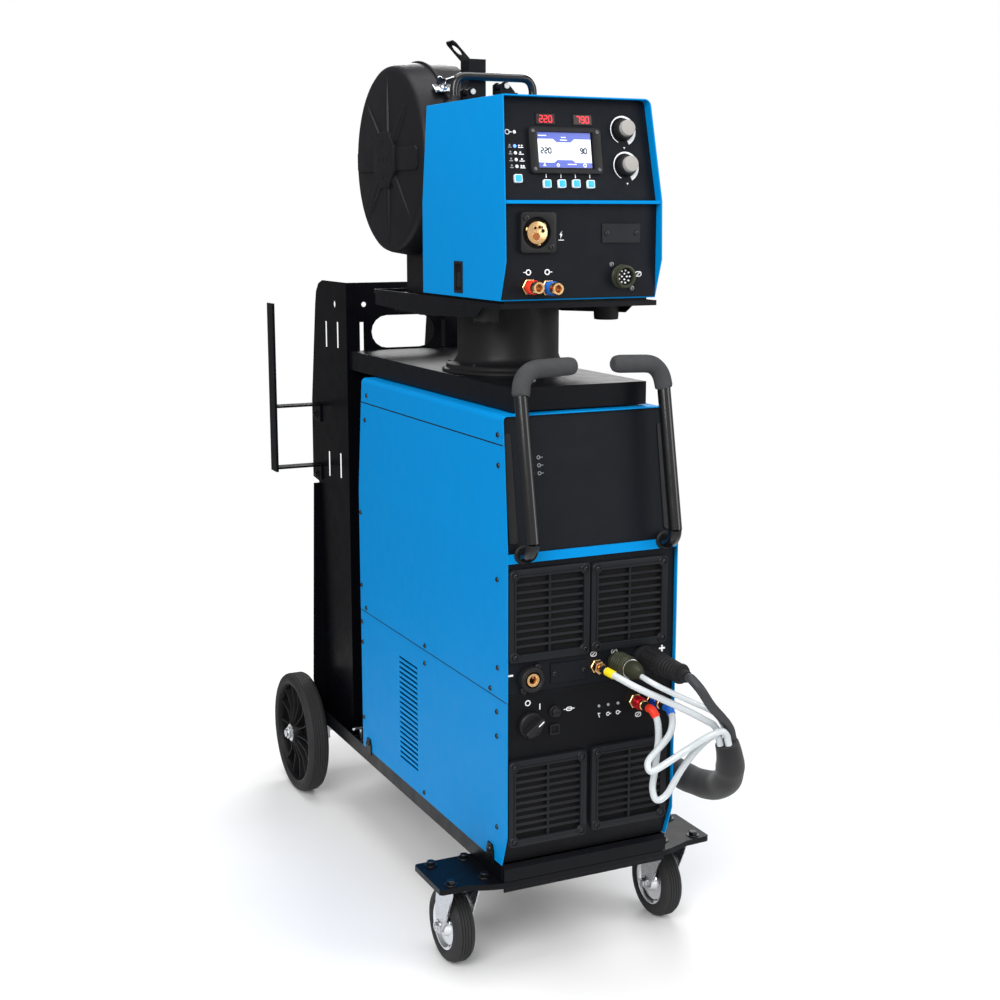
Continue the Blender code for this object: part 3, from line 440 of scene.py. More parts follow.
def lathe(profile, steps, closed=False):
    """Body turned about local Z from (radius, height) pairs; a closed profile makes a ring."""
    bm = bmesh.new()
    rings = []
    for radius, height in profile:
        if radius < 1e-6:
            rings.append([bm.verts.new((0, 0, height))])
            continue
        angles = [math.tau * k / steps for k in range(steps)]
        rings.append([bm.verts.new((radius * math.cos(a), radius * math.sin(a), height)) for a in angles])
    pairs = list(zip(rings, rings[1:]))
    if closed:
        pairs.append((rings[-1], rings[0]))
    for a, b in pairs:
        for k in range(steps):
            j = (k + 1) % steps
            corners = [a[k % len(a)], a[j % len(a)], b[j % len(b)], b[k % len(b)]]
            bm.faces.new(list(dict.fromkeys(corners)))
    if not closed:
        for ring in (rings[0], rings[-1]):
            if len(ring) > 1:
                bm.faces.new(ring)
    return bm


def puck(radius, low, high, steps):
    return lathe([(0, low), (radius, low), (radius, high), (0, high)], steps)


def swept(points, radius, sides, widths=None):
    """Round tube along points; its UV map runs in metres along it and in turns round it."""
    bm = bmesh.new()
    uv = bm.loops.layers.uv.new("UVMap")
    side = Vector((0, 0, 1)) if abs((points[1] - points[0]).normalized().z) < 0.9 else Vector((1, 0, 0))
    rings, along = [], [0.0]
    for i, point in enumerate(points):
        ahead = points[min(i + 1, len(points) - 1)] - points[max(i - 1, 0)]
        ahead.normalize()
        side = (side - ahead * side.dot(ahead)).normalized()
        other = ahead.cross(side)
        r = radius * (widths[i] if widths else 1.0)
        rings.append([bm.verts.new(point + (side * math.cos(math.tau * k / sides) + other
                * math.sin(math.tau * k / sides)) * r) for k in range(sides)])
        if i:
            along.append(along[-1] + (point - points[i - 1]).length)
    for i, (a, b) in enumerate(zip(rings, rings[1:])):
        for k in range(sides):
            j = (k + 1) % sides
            face = bm.faces.new((a[k], a[j], b[j], b[k]))
            for loop, u, v in zip(face.loops, (along[i], along[i], along[i + 1], along[i + 1]),
                                  (k, k + 1, k + 1, k)):
                loop[uv].uv = (u, v / sides)
    bm.faces.new(rings[0][::-1])
    bm.faces.new(rings[-1])
    return bm


def strip_body(outline, x0, x1):
    """Outline of (depth, height) pairs carried across from x0 to x1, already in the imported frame."""
    bm = prism([(y - FRONT, z) for y, z in outline], x1 - x0)
    bm.transform(move(x0, 0, 0) @ facing(Y_AXIS, Z_AXIS))
    return bm


# Pieces

class Piece:
    """One visible piece; each shape added to it has a place and a finish."""

    def __init__(self, name, body, slot):
        self.name, self.body, self.slot = name, body, slot
        self.bm = bmesh.new()
        self.finishes = []

    def add(self, bm, where, finish):
        if finish not in self.finishes:
            self.finishes.append(finish)
        bm.transform(where)
        bmesh.ops.recalc_face_normals(bm, faces=bm.faces)
        for face in bm.faces:
            face.material_index = self.finishes.index(finish)
        shape = bpy.data.meshes.new("shape")
        bm.to_mesh(shape)
        bm.free()
        self.bm.from_mesh(shape)
        bpy.data.meshes.remove(shape)

    def done(self, *nodes):
        me = bpy.data.meshes.new(self.name)
        self.bm.to_mesh(me)
        self.bm.free()
        for finish in self.finishes:
            me.materials.append(FINISHES[finish])
        me.shade_smooth()
        me.set_sharp_from_angle(angle=SHARP)
        ob = new_object(self.name, me)
        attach(ob, self.body)
        if nodes:
            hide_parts(*nodes)
        return ob


STILL = Matrix.Identity(4)


def along_edges(bm, test, offset):
    """Rounds the sharp edges from front to back whose two ends pass the test."""
    edges = [e for e in bm.edges if len(e.link_faces) == 2 and e.calc_face_angle(0) > 0.5
             and abs(e.verts[0].co.x - e.verts[1].co.x) < 0.002 and all(test(v.co) for v in e.verts)]
    if edges:
        bmesh.ops.bevel(bm, geom=edges, offset=offset, segments=4, profile=0.5, affect="EDGES",
                clamp_overlap=True)


def dressed(node, finish, slot, body="cart", width=0.0006, rounds=()):
    """A copy of a CAD node with whole flat faces and rounded edges."""
    bm = bmesh.new()
    bm.from_mesh(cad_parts[node].data)
    bmesh.ops.remove_doubles(bm, verts=bm.verts, dist=1e-6)
    bmesh.ops.dissolve_limit(bm, angle_limit=math.radians(0.6), verts=bm.verts, edges=bm.edges)
    for test, offset in rounds:
        along_edges(bm, test, offset)
    me = bpy.data.meshes.new(node)
    bm.to_mesh(me)
    bm.free()
    me.materials.append(FINISHES[finish])
    me.shade_smooth()
    me.set_sharp_from_angle(angle=SHARP)
    ob = new_object(f"{node}_skin", me)
    if width:
        mod = ob.modifiers.new("Edges", "BEVEL")
        mod.width = width
        mod.segments = 2
        mod.limit_method = "ANGLE"
        mod.angle_limit = math.radians(40)
        mod.harden_normals = True
    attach(ob, body)
    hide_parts(node)
    return ob


# Small repeated fittings, raised along the local Z of where they stand

def corners(where, x, y, out):
    return [where @ move(sx * x, sy * y, out) for sx in (-1, 1) for sy in (-1, 1)]


def dome_screw(piece, where, radius, finish="screw_black"):
    """Low domed screw head with a round recess."""
    high = radius * 0.55
    head = [(radius, 0), (radius, high * 0.35), (radius * 0.86, high * 0.75), (radius * 0.52, high),
            (radius * 0.46, high), (radius * 0.44, high * 0.25), (0, high * 0.25)]
    piece.add(lathe(head, 18), where, finish)


def hex_bolt(piece, where, radius):
    """Hex head on a washer, its top turned down to a cone."""
    piece.add(lathe([(radius * 1.45, 0), (radius * 1.45, 0.001), (radius * 1.38, 0.0014), (0, 0.0014)],
            24), where, "screw_black")
    piece.add(prism(ngon(radius), radius * 0.72, radius * 0.1), where @ move(0, 0, 0.0012), "screw_black")
    cap = [(radius * 0.8, 0), (radius * 0.74, 0.0006), (0, 0.0006)]
    piece.add(lathe(cap, 20), where @ move(0, 0, 0.0011 + radius * 0.72), "screw_black")


def print_mark(piece, outline, where, finish="white_print"):
    piece.add(prism(outline, 0.00025), where, finish)


def ring_mark(piece, outer, inner, sides, where, finish="white_print"):
    piece.add(ring_prism(ngon(outer, sides), ngon(inner, sides), 0.0003), where, finish)


def shifted(outline, x, y):
    return [(u + x, v + y) for u, v in outline]


SEGMENTS = {"a": (0, 1, 0), "b": (0.5, 0.5, 1), "c": (0.5, -0.5, 1), "d": (0, -1, 0), "e": (-0.5, -0.5, 1),
            "f": (-0.5, 0.5, 1), "g": (0, 0, 0)}
DIGITS = {"0": "abcdef", "1": "bc", "2": "abged", "3": "abgcd", "4": "fgbc", "5": "afgcd", "7": "abc",
          "9": "abcdfg"}


def number(piece, text, where, high, finish, weight):
    """Seven-segment digits in a row about the local origin."""
    pitch = high * 0.72
    for k, digit in enumerate(text):
        x = (k - (len(text) - 1) / 2) * pitch
        for name in DIGITS[digit]:
            sx, sy, upright = SEGMENTS[name]
            size = (high * weight, high * 0.4) if upright else (high * 0.38, high * weight)
            outline = rectangle(*size)
            print_mark(piece, shifted(outline, x + sx * high * 0.48, sy * high * 0.44), where, finish)


# Camera and cords

CAMERA_TURN = 25.604           # degrees round from straight ahead, and down
CAMERA_DIP = 10.638
CAMERA_LENS = 54.92


def make_camera():
    data = bpy.data.cameras.new("camera")
    data.lens = CAMERA_LENS
    camera = new_object("camera", data)
    turn, dip = math.radians(CAMERA_TURN), math.radians(CAMERA_DIP)
    look = Vector((math.sin(turn) * math.cos(dip), math.cos(turn) * math.cos(dip), -math.sin(dip)))
    camera.location = spot(-1.1345, -2.0258, 1.209)
    camera.rotation_euler = look.to_track_quat("-Z", "Y").to_euler()
    bpy.context.scene.camera = camera


MOUTH = Vector((0.167, -0.13, 0.396))       # where the hoses enter the sleeve
MOUTH_AXIS = Vector((0.3, 0.05, -0.95)).normalized()


def into_mouth(front, right):
    """Last points of a hose, straight into the sleeve's open face beside its axis."""
    across = MOUTH_AXIS.cross(Z_AXIS).normalized()
    seat = MOUTH + across * front + across.cross(MOUTH_AXIS) * right
    return [seat - MOUTH_AXIS * back for back in (0.02, 0.012, 0.003)]


CLEAR = ("clear_braided_hose", "clear_hose", "limp")
# Radius, finish, slot, stiffness, number of points, route
CORDS = {
    "power_cable": (0.0075, "cable_grey", "rubber", "medium", 26, mm(
        (94, -129, 511.6), (94.1, -138, 511.2), (102, -152, 497), (122, -149, 470), (146, -141, 446),
        (161, -135, 431)) + into_mouth(0.003, 0.0095)),
    "control_cable": (0.0045, *CLEAR, 30, mm(
        (44.4, -10, 508), (44.5, -50, 506), (50, -85, 500), (68, -103, 489), (105, -114, 469),
        (143, -118, 449), (158, -119, 436)) + into_mouth(-0.0095, 0.009)),
    "gas_hose": (0.0055, *CLEAR, 32, mm(
        (6.8, -15, 505.8), (7.5, -30, 505.5), (13, -50, 502), (34, -80, 489), (67, -98, 472),
        (108, -113, 450), (136, -119, 433), (147, -120, 426)) + into_mouth(-0.0125, -0.003)),
    "return_hose": (0.0055, *CLEAR, 40, mm(
        (78.8, -39, 438.5), (78.8, -50, 438), (83, -58, 425), (84, -62, 400), (80, -65, 376),
        (74, -69, 345), (68, -73, 318), (71, -81, 301), (86, -87, 310), (104, -94, 345),
        (120, -104, 375), (134, -120, 401), (142, -130, 412)) + into_mouth(-0.001, -0.0125)),
    "supply_hose": (0.0055, *CLEAR, 40, mm(
        (110.7, -39, 435.7), (110.7, -50, 435), (109, -62, 424), (100, -74, 411), (88, -81, 400),
        (68, -86, 386), (48, -91, 371), (48, -99, 358), (66, -104, 366), (100, -117, 390),
        (124, -133, 411), (139, -141, 420), (149, -143, 422)) + into_mouth(0.0105, -0.005)),
    "hose_sleeve": (0.0235, "padded_sleeve", "sleeve", "limp", 40, [MOUTH, MOUTH + MOUTH_AXIS * 0.019] + mm(
        (180, -122, 354), (186, -106, 326), (187, -75, 304), (183, -30, 294), (179, 30, 292),
        (179, 120, 296), (179, 250, 306), (180, 400, 333), (181, 520, 380), (182, 600, 445),
        (183, 650, 525), (184, 680, 625), (184, 694, 740), (183, 700, 830), (181, 699, 892),
        (173, 688, 942), (152, 659, 979), (123, 619, 992), (80, 561, 993), (40, 505, 992),
        (11, 447, 992), (0, 401.5, 992))),
}
SLEEVE_RINGS = 330             # rings of the sleeve's mesh, close enough to show its creases


def crease(i, count):
    """Width factor of the sleeve's ring: narrow at the mouth, with uneven soft folds."""
    along = 1.7 * i / count
    folds = (0.02 * math.sin(along * 150 + 2.1 * math.sin(along * 23)) + 0.012
            * math.sin(along * 67 + 1.3 * math.sin(along * 31)))
    mouth = 0.8 + 0.2 * min(1.0, along / 0.05)
    return min(mouth, 0.985 + folds)


def make_cords():
    made = {}
    for name, (radius, finish, slot, stiffness, count, route) in CORDS.items():
        route = [spot(*p) for p in route]
        points = smooth_path(route, count)
        piece = Piece(f"{name}_made", "cart", slot)
        if name == "hose_sleeve":
            rings = smooth_path(route, SLEEVE_RINGS)
            piece.add(swept(rings, radius, 32, [crease(i, SLEEVE_RINGS) for i in range(SLEEVE_RINGS)]),
                      STILL, finish)
        else:
            piece.add(swept(smooth_path(route, count * 3), radius, 20), STILL, finish)
        made[name] = (piece.done(name), points, radius, stiffness)
    return made


# Cart

def make_rear_wheel(side, sign):
    """Ribbed tyre on a black spoked rim, with a zinc washer and nut on the axle."""
    where = place(facing(Z_AXIS, (0, -sign, 0)), sign * 0.1525, AXLE_Y, WHEEL_R)
    tyre = mm((104.5, 5), (105.5, 3), (108, 1.2), (113, 0.4), (118, 1.2), (121.8, 3.5), (124, 7))
    for k in range(5):
        h = 0.011 + 0.0055 * k
        tyre += [(WHEEL_R, h - 0.0022), (WHEEL_R, h - 0.0006), (WHEEL_R - 0.0014, h - 0.0003),
                 (WHEEL_R - 0.0014, h + 0.0003), (WHEEL_R, h + 0.0006)]
    tyre += mm((124, 37.1), (121.8, 40.6), (118, 42.9), (113, 43.7), (108, 42.9), (105.5, 41.1),
            (104.5, 39.1))
    wheel = Piece(f"rear_wheel_{side}_made", f"rear_wheel_{side}", "rubber")
    wheel.add(lathe(tyre, 96, True), where, "tyre_rubber")
    rim = mm((102.5, 4), (105.5, 4), (105.5, 40), (102.5, 40), (99.5, 34), (99, 24), (99, 20), (99.5, 10))
    wheel.add(lathe(rim, 72, True), where, "wheel_black")
    # Thin pale grey rings on both faces where the tyre meets the rim: a painted highlight line along the
    # rim's edge.
    for h in (0.0034, 0.0396):
        painted_rim_highlight = [(0.1046, h), (0.1058, h), (0.1058, h + 0.0014), (0.1046, h + 0.0014)]
        wheel.add(lathe(painted_rim_highlight, 72, True), where, "cable_grey")
    web = mm((18, 19), (99.5, 20.5), (99.5, 23.5), (18, 25))
    wheel.add(lathe(web, 72, True), where, "wheel_black")
    hub = mm((9, 2), (20, 2), (21.5, 5), (23, 19), (23, 25), (21.5, 42.5), (20, 44.5), (9, 44.5))
    wheel.add(lathe(hub, 40, True), where, "wheel_black")
    rib = mm((21, 6), (100, 9), (100, 35), (60, 32), (21, 40))
    for k in range(7):
        for splay in (-9, 9):
            plank = prism(rib, 0.0018)
            plank.transform(facing(X_AXIS, Z_AXIS))
            lean = spin_z(math.radians(splay * 0.35))
            start = spin_z(math.tau * k / 7 + math.radians(splay))
            wheel.add(plank, where @ start @ move(0, 0.0009, 0) @ lean, "plastic_black")
    wheel.done(f"rear_wheel_{side}")
    end = Piece(f"rear_wheel_nut_{side}", "cart", "zinc")
    washer = mm((8.2, 44.7), (18, 44.7), (18, 46.1), (8.2, 46.1))
    end.add(lathe(washer, 32, True), where, "zinc")
    end.add(ring_prism(ngon(0.013, 6), ngon(0.0084, 6), 0.0065, 0.0006), where @ move(0, 0, 0.0463),
            "zinc")
    end.done()


def caster_arm():
    """Side outline of the fork's arm, from its crown down to the axle."""
    crown = mm((-31, 82), (-31, 76), (-27, 66), (-15, 42), (-2, 16), (12, -4))
    tip = [(0.0257 + 0.0125 * math.cos(math.radians(a)), 0.0125 * math.sin(math.radians(a)))
           for a in range(-150, 31, 20)]
    back = mm((38.5, 20), (36, 42), (33, 60), (32, 76), (32, 82))
    return crown + tip + back


def make_caster(side, sign):
    """Zinc swivel fork with a steel-centred rubber wheel that trails behind its head."""
    x, y, z = sign * 0.196, 0.09, 0.0625
    fork = Piece(f"caster_fork_{side}_made", f"caster_fork_{side}", "zinc")
    for inner in (-0.0245, 0.022):
        arm = prism(caster_arm(), 0.0025, 0.0005)
        arm.transform(facing(Y_AXIS, Z_AXIS))
        fork.add(arm, Matrix.Translation(spot(x + inner, y, z)), "zinc")
    crown = mm((0, 78), (30, 78), (33.5, 80), (33.5, 82.8), (29, 85), (27, 88), (24.5, 90), (24.5, 91.2),
            (0, 91.2))
    fork.add(lathe(crown, 40), place(TO_TOP, x, y, z), "zinc")
    for way in (-1, 1):
        turn = facing(Z_AXIS, (0, -way, 0))
        at = place(turn, x + way * 0.0247, y + 0.0257, z)
        fork.add(puck(0.0105, 0, 0.001, 28), at, "zinc")
        fork.add(prism(ngon(0.008), 0.005, 0.0006), at @ move(0, 0, 0.0009), "zinc")
        fork.add(lathe(mm((0, 5), (4, 5), (3.6, 6.8), (0, 6.8)), 16), at, "steel")
    fork.done(f"caster_fork_{side}")

    wheel = Piece(f"caster_wheel_{side}_made", f"caster_wheel_{side}", "rubber")
    at = place(facing((0, 0, 1), (0, sign, 0)), x, y + 0.0257, z)
    tyre = mm((40, -15), (44, -17.2), (50, -18), (56, -16.8), (59.2, -14), (60.6, -11))
    for h in (-0.0075, -0.0025, 0.0025, 0.0075):
        tyre += [(0.0618, h - 0.0016), (0.0622, h - 0.0007), (0.0604, h), (0.0622, h + 0.0007),
                (0.0618, h + 0.0016)]
    tyre += mm((60.6, 11), (59.2, 14), (56, 16.8), (50, 18), (44, 17.2), (40, 15))
    wheel.add(lathe(tyre, 64, True), at, "tyre_rubber")
    for way in (-1, 1):
        disc = [(0.0062, way * 0.0195), (0.014, way * 0.0195), (0.0165, way * 0.0178),
                (0.02, way * 0.011), (0.033, way * 0.0105), (0.0375, way * 0.015), (0.0405, way * 0.016),
                (0.041, way * 0.014), (0.0385, way * 0.008), (0.0062, way * 0.008)]
        wheel.add(lathe(disc, 48, True), at, "chrome")
    wheel.done(f"caster_wheel_{side}")


def make_tray_fittings():
    """Bolts, hook tabs and the stepped front lip of the tray."""
    metalwork = Piece("tray_fittings", "cart", "cart_paint")
    for sign in (-1, 1):
        for x, y in mm((226, 131), (226, 50), (166, 133), (166, 53)):
            hex_bolt(metalwork, place(TO_TOP, sign * x, y, 0.1637), 0.0078)
        for y in (0.058, 0.605):
            tab = mm((-13, 0), (13, 0), (13, 20), (8, 31), (-8, 31), (-13, 20))
            metalwork.add(prism(tab, 0.0024, 0.0005), on_side(sign, y, 0.1865, 0.0003), "cart_black")
            dome_screw(metalwork, on_side(sign, y, 0.208, 0.0026), 0.0052)
    lip = mm((19.5, 165.5), (15, 165.5), (15, 186), (21.5, 192.5), (21.5, 186), (19.5, 184))
    metalwork.add(strip_body(lip, -0.149, 0.149), STILL, "cart_black")
    metalwork.done()
    wing = Piece("cylinder_wing_bolt", "cart", "zinc")
    foot = place(TO_TOP, -0.131, 0.705, 0.1672)
    wing.add(lathe(mm((0, 0), (10, 0), (10, 1.5), (4, 2), (4, 36), (0, 36)), 20), foot, "zinc")
    wing.add(prism(rounded(0.038, 0.008, 0.0035), 0.004, 0.001), foot @ move(0, 0, 0.0355), "zinc")
    wing.done()


def make_upright_feet():
    """Flanges that carry the upright's rear lips down beside the tray."""
    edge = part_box("upright_panel")[1].x
    wide = 0.0262
    for side, sign in (("left", -1), ("right", 1)):
        foot = Piece(f"upright_foot_{side}", "cart", "cart_paint")
        # The feet take the upright's darkened black paint, with its painted shade.
        foot.add(prism(rectangle(wide, 0.0755), 0.0025, 0.0004), place(TO_REAR, sign * (edge - wide / 2),
                0.9381, 0.204), "upright_black_painted_shade")
        foot.done()


def make_upright_fittings():
    bolts = Piece("upright_bolts", "cart", "zinc")
    for y, z in mm((950, 803), (950, 678)):
        hex_bolt(bolts, place(TO_LEFT, -0.129, y, z), 0.0056)
    for x in (-0.1, 0.1):
        for z in (0.925, 0.938):
            dome_screw(bolts, place(TO_REAR, x, 0.7702, z), 0.0045, "zinc")
    bolts.done()


def make_column():
    column = Piece("pivot_column_made", "cart", "cart_paint")
    low = 0.9479
    column.add(lathe([(0, low), (0.112, low), (0.112, 0.9515), (0.1105, 0.953), (0.106, 0.9538),
            (0.105, 0.955), (0.105, 0.959), (0.1035, 0.9608), (0.095, 0.9625), (0.0905, 0.9655),
            (0.0875, 0.971), (0.086, 0.976), (0.086, 1.065), (0.085, 1.066), (0, 1.066)], 96),
            place(TO_TOP, 0, PIVOT_Y, 0), "plastic_black")
    for k in range(6):
        angle = math.tau * (k + 0.5) / 6
        hex_bolt(column, place(TO_TOP, 0.0985 * math.cos(angle), PIVOT_Y + 0.0985 * math.sin(angle),
                0.959), 0.004)
    column.done("pivot_column")
    shelf = Piece("shelf_fittings", "cart", "zinc")
    dome_screw(shelf, place(TO_TOP, -0.0445, 0.1311, 0.9476), 0.0062, "zinc")
    arrow = mm((-12, -3), (2, -3), (2, -8), (13, 0), (2, 8), (2, 3), (-12, 3))
    shelf.add(prism(arrow, 0.0004), place(TO_TOP, 0.0905, 0.48, 0.9475), "slot_dark")
    shelf.done()


def make_handle(side, sign):
    """Black tube from a foot on the case, its top bent inwards and covered by a foam grip."""
    route = mm((125, -0.4, 699.5), (125, -12, 699.8), (125, -23.5, 704), (125, -30.5, 712.5),
            (125, -32.7, 723.5), (125, -30.5, 738.7), (125, 6, 925), (124.5, 9.5, 945), (121, 11.8, 961),
            (112.5, 12.8, 972.5), (99, 12.2, 979), (70, 10.5, 980.8), (32.4, 9, 982))
    points = smooth_path([spot(sign * x, y, z) for x, y, z in route], 150)
    start = next(i for i, p in enumerate(points) if p.z > 0.938)
    handle = Piece(f"handle_{side}_made", "cart", "rubber")
    handle.add(swept(points[:start + 6], 0.0105, 28), STILL, "handle_black")
    grip = points[start:]
    last = len(grip) - 1
    widths = []
    for i in range(len(grip)):
        end = min(i / 3, (last - i) / 6, 1.0)
        widths.append(0.62 + 0.38 * math.sqrt(max(0.0, 1 - (1 - end) ** 2)))
    handle.add(swept(grip, 0.0141, 32, widths), STILL, "foam_grip")
    collar = mm((10.6, 0), (15, 0), (15, 3), (13.5, 5), (10.6, 5))
    handle.add(lathe(collar, 32, True), place(TO_FRONT, sign * 0.125, 0.0002, 0.6995), "plastic_black")
    handle.done(f"handle_{side}")


# Power source and cooler

def make_cases():
    outer_top = lambda v: v.z > CASE_TOP - 0.0005
    inner_top = lambda v: abs(v.z - (CASE_TOP - 0.002)) < 0.0003
    dressed("top_cover", "blue_paint", "blue_paint", rounds=((outer_top, 0.0085), (inner_top, 0.006)))
    dressed("power_source_case", "blue_paint", "blue_paint")
    dressed("cooler_case", "blue_paint", "blue_paint")
    dressed("power_source_front", "panel_black", "black_plastic")
    dressed("cooler_front", "panel_dark", "black_plastic")
    lines = Piece("case_seams", "cart", "black_plastic")
    for sign in (-1, 1):
        for z, high, start in mm((863.7, 1.8, 30), (466.4, 1.4, 1)):
            long = CASE_DEPTH - start
            lines.add(prism(rectangle(long, high), 0.00025), on_side(sign, start + long / 2, z),
                    "slot_dark")
    lines.done()
    floor_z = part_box("cooler_case")[0].z
    sill = Piece("cooler_sill", "cart", "black_plastic")
    sill.add(prism(rectangle(2 * CASE_HALF - 0.005, 0.0024), 0.0018, 0.0003),
            place(TO_FRONT, 0, 0.0287, floor_z + 0.0012), "panel_dark")
    sill.done()


def make_side_screws():
    screws = Piece("case_screws", "cart", "black_paint")
    rows = mm((878, 36.5, 610.2), (832, 33, 616), (655.7, 34, 630.8), (515, 33, 632), (443, 36, 632.8),
            (403, 36, 631.4), (252.5, 35.4, 631.4), (474.9, 59.7, 609.3))
    spots = [(y, z) for z, front, rear in rows for y in (front, rear)]
    spots += mm((325.9, 442.9), (324, 474.9), (333.3, 204.2))
    for sign in (-1, 1):
        for y, z in spots:
            lean = UPPER_SLOPE * max(0.0, z - KINK_Z) if y < 0.1 else 0.0
            dome_screw(screws, on_side(sign, y + lean * 0.4, z), 0.0044)
    screws.done()


def make_grille(name, x, z):
    """Rounded frame with angled slats, a divider and a round boss for each corner screw."""
    wide, high = x[1] - x[0], z[1] - z[0]
    centre = ((x[0] + x[1]) / 2, (z[0] + z[1]) / 2)
    where = on_front(*centre, SEAT)
    grille = Piece(f"{name}_made", "cart", "black_plastic")
    inside = rounded(wide - 0.024, high - 0.026, 0.003)
    grille.add(ring_prism(rounded(wide, high, 0.0075), inside, 0.0072, 0.0022), where, "grille_black")
    grille.add(ring_prism(rounded(wide - 0.018, high - 0.02, 0.005), inside, 0.0014, 0.0005), where
            @ move(0, 0, 0.007), "grille_black")
    # Dark sheet behind the slats: painted shade for the grille's open interior.
    grille.add(prism(rectangle(wide - 0.022, high - 0.024), 0.0006), where, "slot_dark")
    pitch = (high - 0.026) / SLATS
    for k in range(SLATS - 1):
        y = (k + 1) * pitch - (high - 0.026) / 2
        blade = prism(rectangle(wide - 0.023, 0.0046), 0.0016, 0.0004)
        tilt = move(0, y, 0.0048) @ Matrix.Rotation(math.radians(-38), 4, "X")
        grille.add(blade, where @ tilt, "grille_black")
    grille.add(prism(rectangle(0.0038, high - 0.025), 0.0056, 0.0006), where @ move(0, 0, 0.001),
            "grille_black")
    boss = mm((0, 0), (8.6, 0), (8.6, 7.8), (7.4, 9.2), (5.2, 9.2), (4.8, 7), (0, 7))
    for corner in corners(where, wide / 2 - 0.0095, high / 2 - 0.0095, 0):
        grille.add(lathe(boss, 28), corner, "grille_black")
        dome_screw(grille, corner @ move(0, 0, 0.0071), 0.0038)
    grille.done(name)


def make_minus_socket():
    socket = Piece("minus_socket_made", "cart", "brass")
    where = on_front(-0.1094, 0.5, SEAT)
    ring = mm((12, 0), (21, 0), (21, 8.5), (19.8, 11.5), (18, 12.8), (15, 13), (13.2, 11.5), (12, 7))
    socket.add(lathe(ring, 48, True), where, "plastic_black")
    brass = mm((4, 0), (11.2, 0), (11.2, 10.2), (10.4, 11.6), (6.8, 11.6), (6, 10.6), (4.6, 4))
    socket.add(lathe(brass, 40, True), where, "brass")
    # Dark disc in the socket's centre: painted shade for its bore.
    socket.add(puck(0.004, 0, 0.0016, 24), where, "slot_dark")
    socket.add(prism(rectangle(0.0026, 0.006), 0.009), where @ move(0, 0.0052, 0.002), "copper")
    for angle in (55, 235):
        lug = where @ spin_z(math.radians(angle)) @ move(0.0215, 0, 0)
        socket.add(lathe(mm((0, 0), (5.8, 0), (5.8, 4.5), (4.5, 6), (0, 6)), 24), lug, "plastic_black")
    socket.done("minus_socket")


def make_plus_plug():
    """Rubber-covered plug with a grooved grip and a ribbed boot that holds the cable."""
    profile = mm((0, 0), (18, 0), (18, 6), (17.8, 8.5), (17.6, 9), (17.6, 15))
    for k in range(4):
        h = 0.018 + 0.0095 * k
        profile += [(0.017, h), (0.0176, h + 0.002), (0.0176, h + 0.006), (0.017, h + 0.008)]
    profile += mm((17.2, 60), (16.5, 64))
    for k in range(5):
        h = 0.068 + 0.0082 * k
        r = 0.0166 - 0.0003 * k
        profile += [(r - 0.0016, h), (r, h + 0.0014), (r - 0.0001, h + 0.0048), (r - 0.0018, h + 0.0062)]
    profile += mm((16.2, 110), (16.4, 112), (15.6, 114.5), (9.8, 115), (9.4, 130), (8.6, 132), (0, 132))
    plug = Piece("plus_plug_made", "cart", "rubber")
    where = on_front(0.094, 0.5116, SEAT)
    plug.add(lathe(profile, 48), where, "soft_rubber")
    for k in range(9):
        turn = spin_z(math.tau * k / 9)
        rib = prism(rounded(0.0026, 0.034, 0.0012), 0.0016, 0.0005)
        rib.transform(facing(Y_AXIS, Z_AXIS))
        plug.add(rib, where @ turn @ move(0.017, 0, 0.038), "soft_rubber")
    return plug.done("plus_plug")


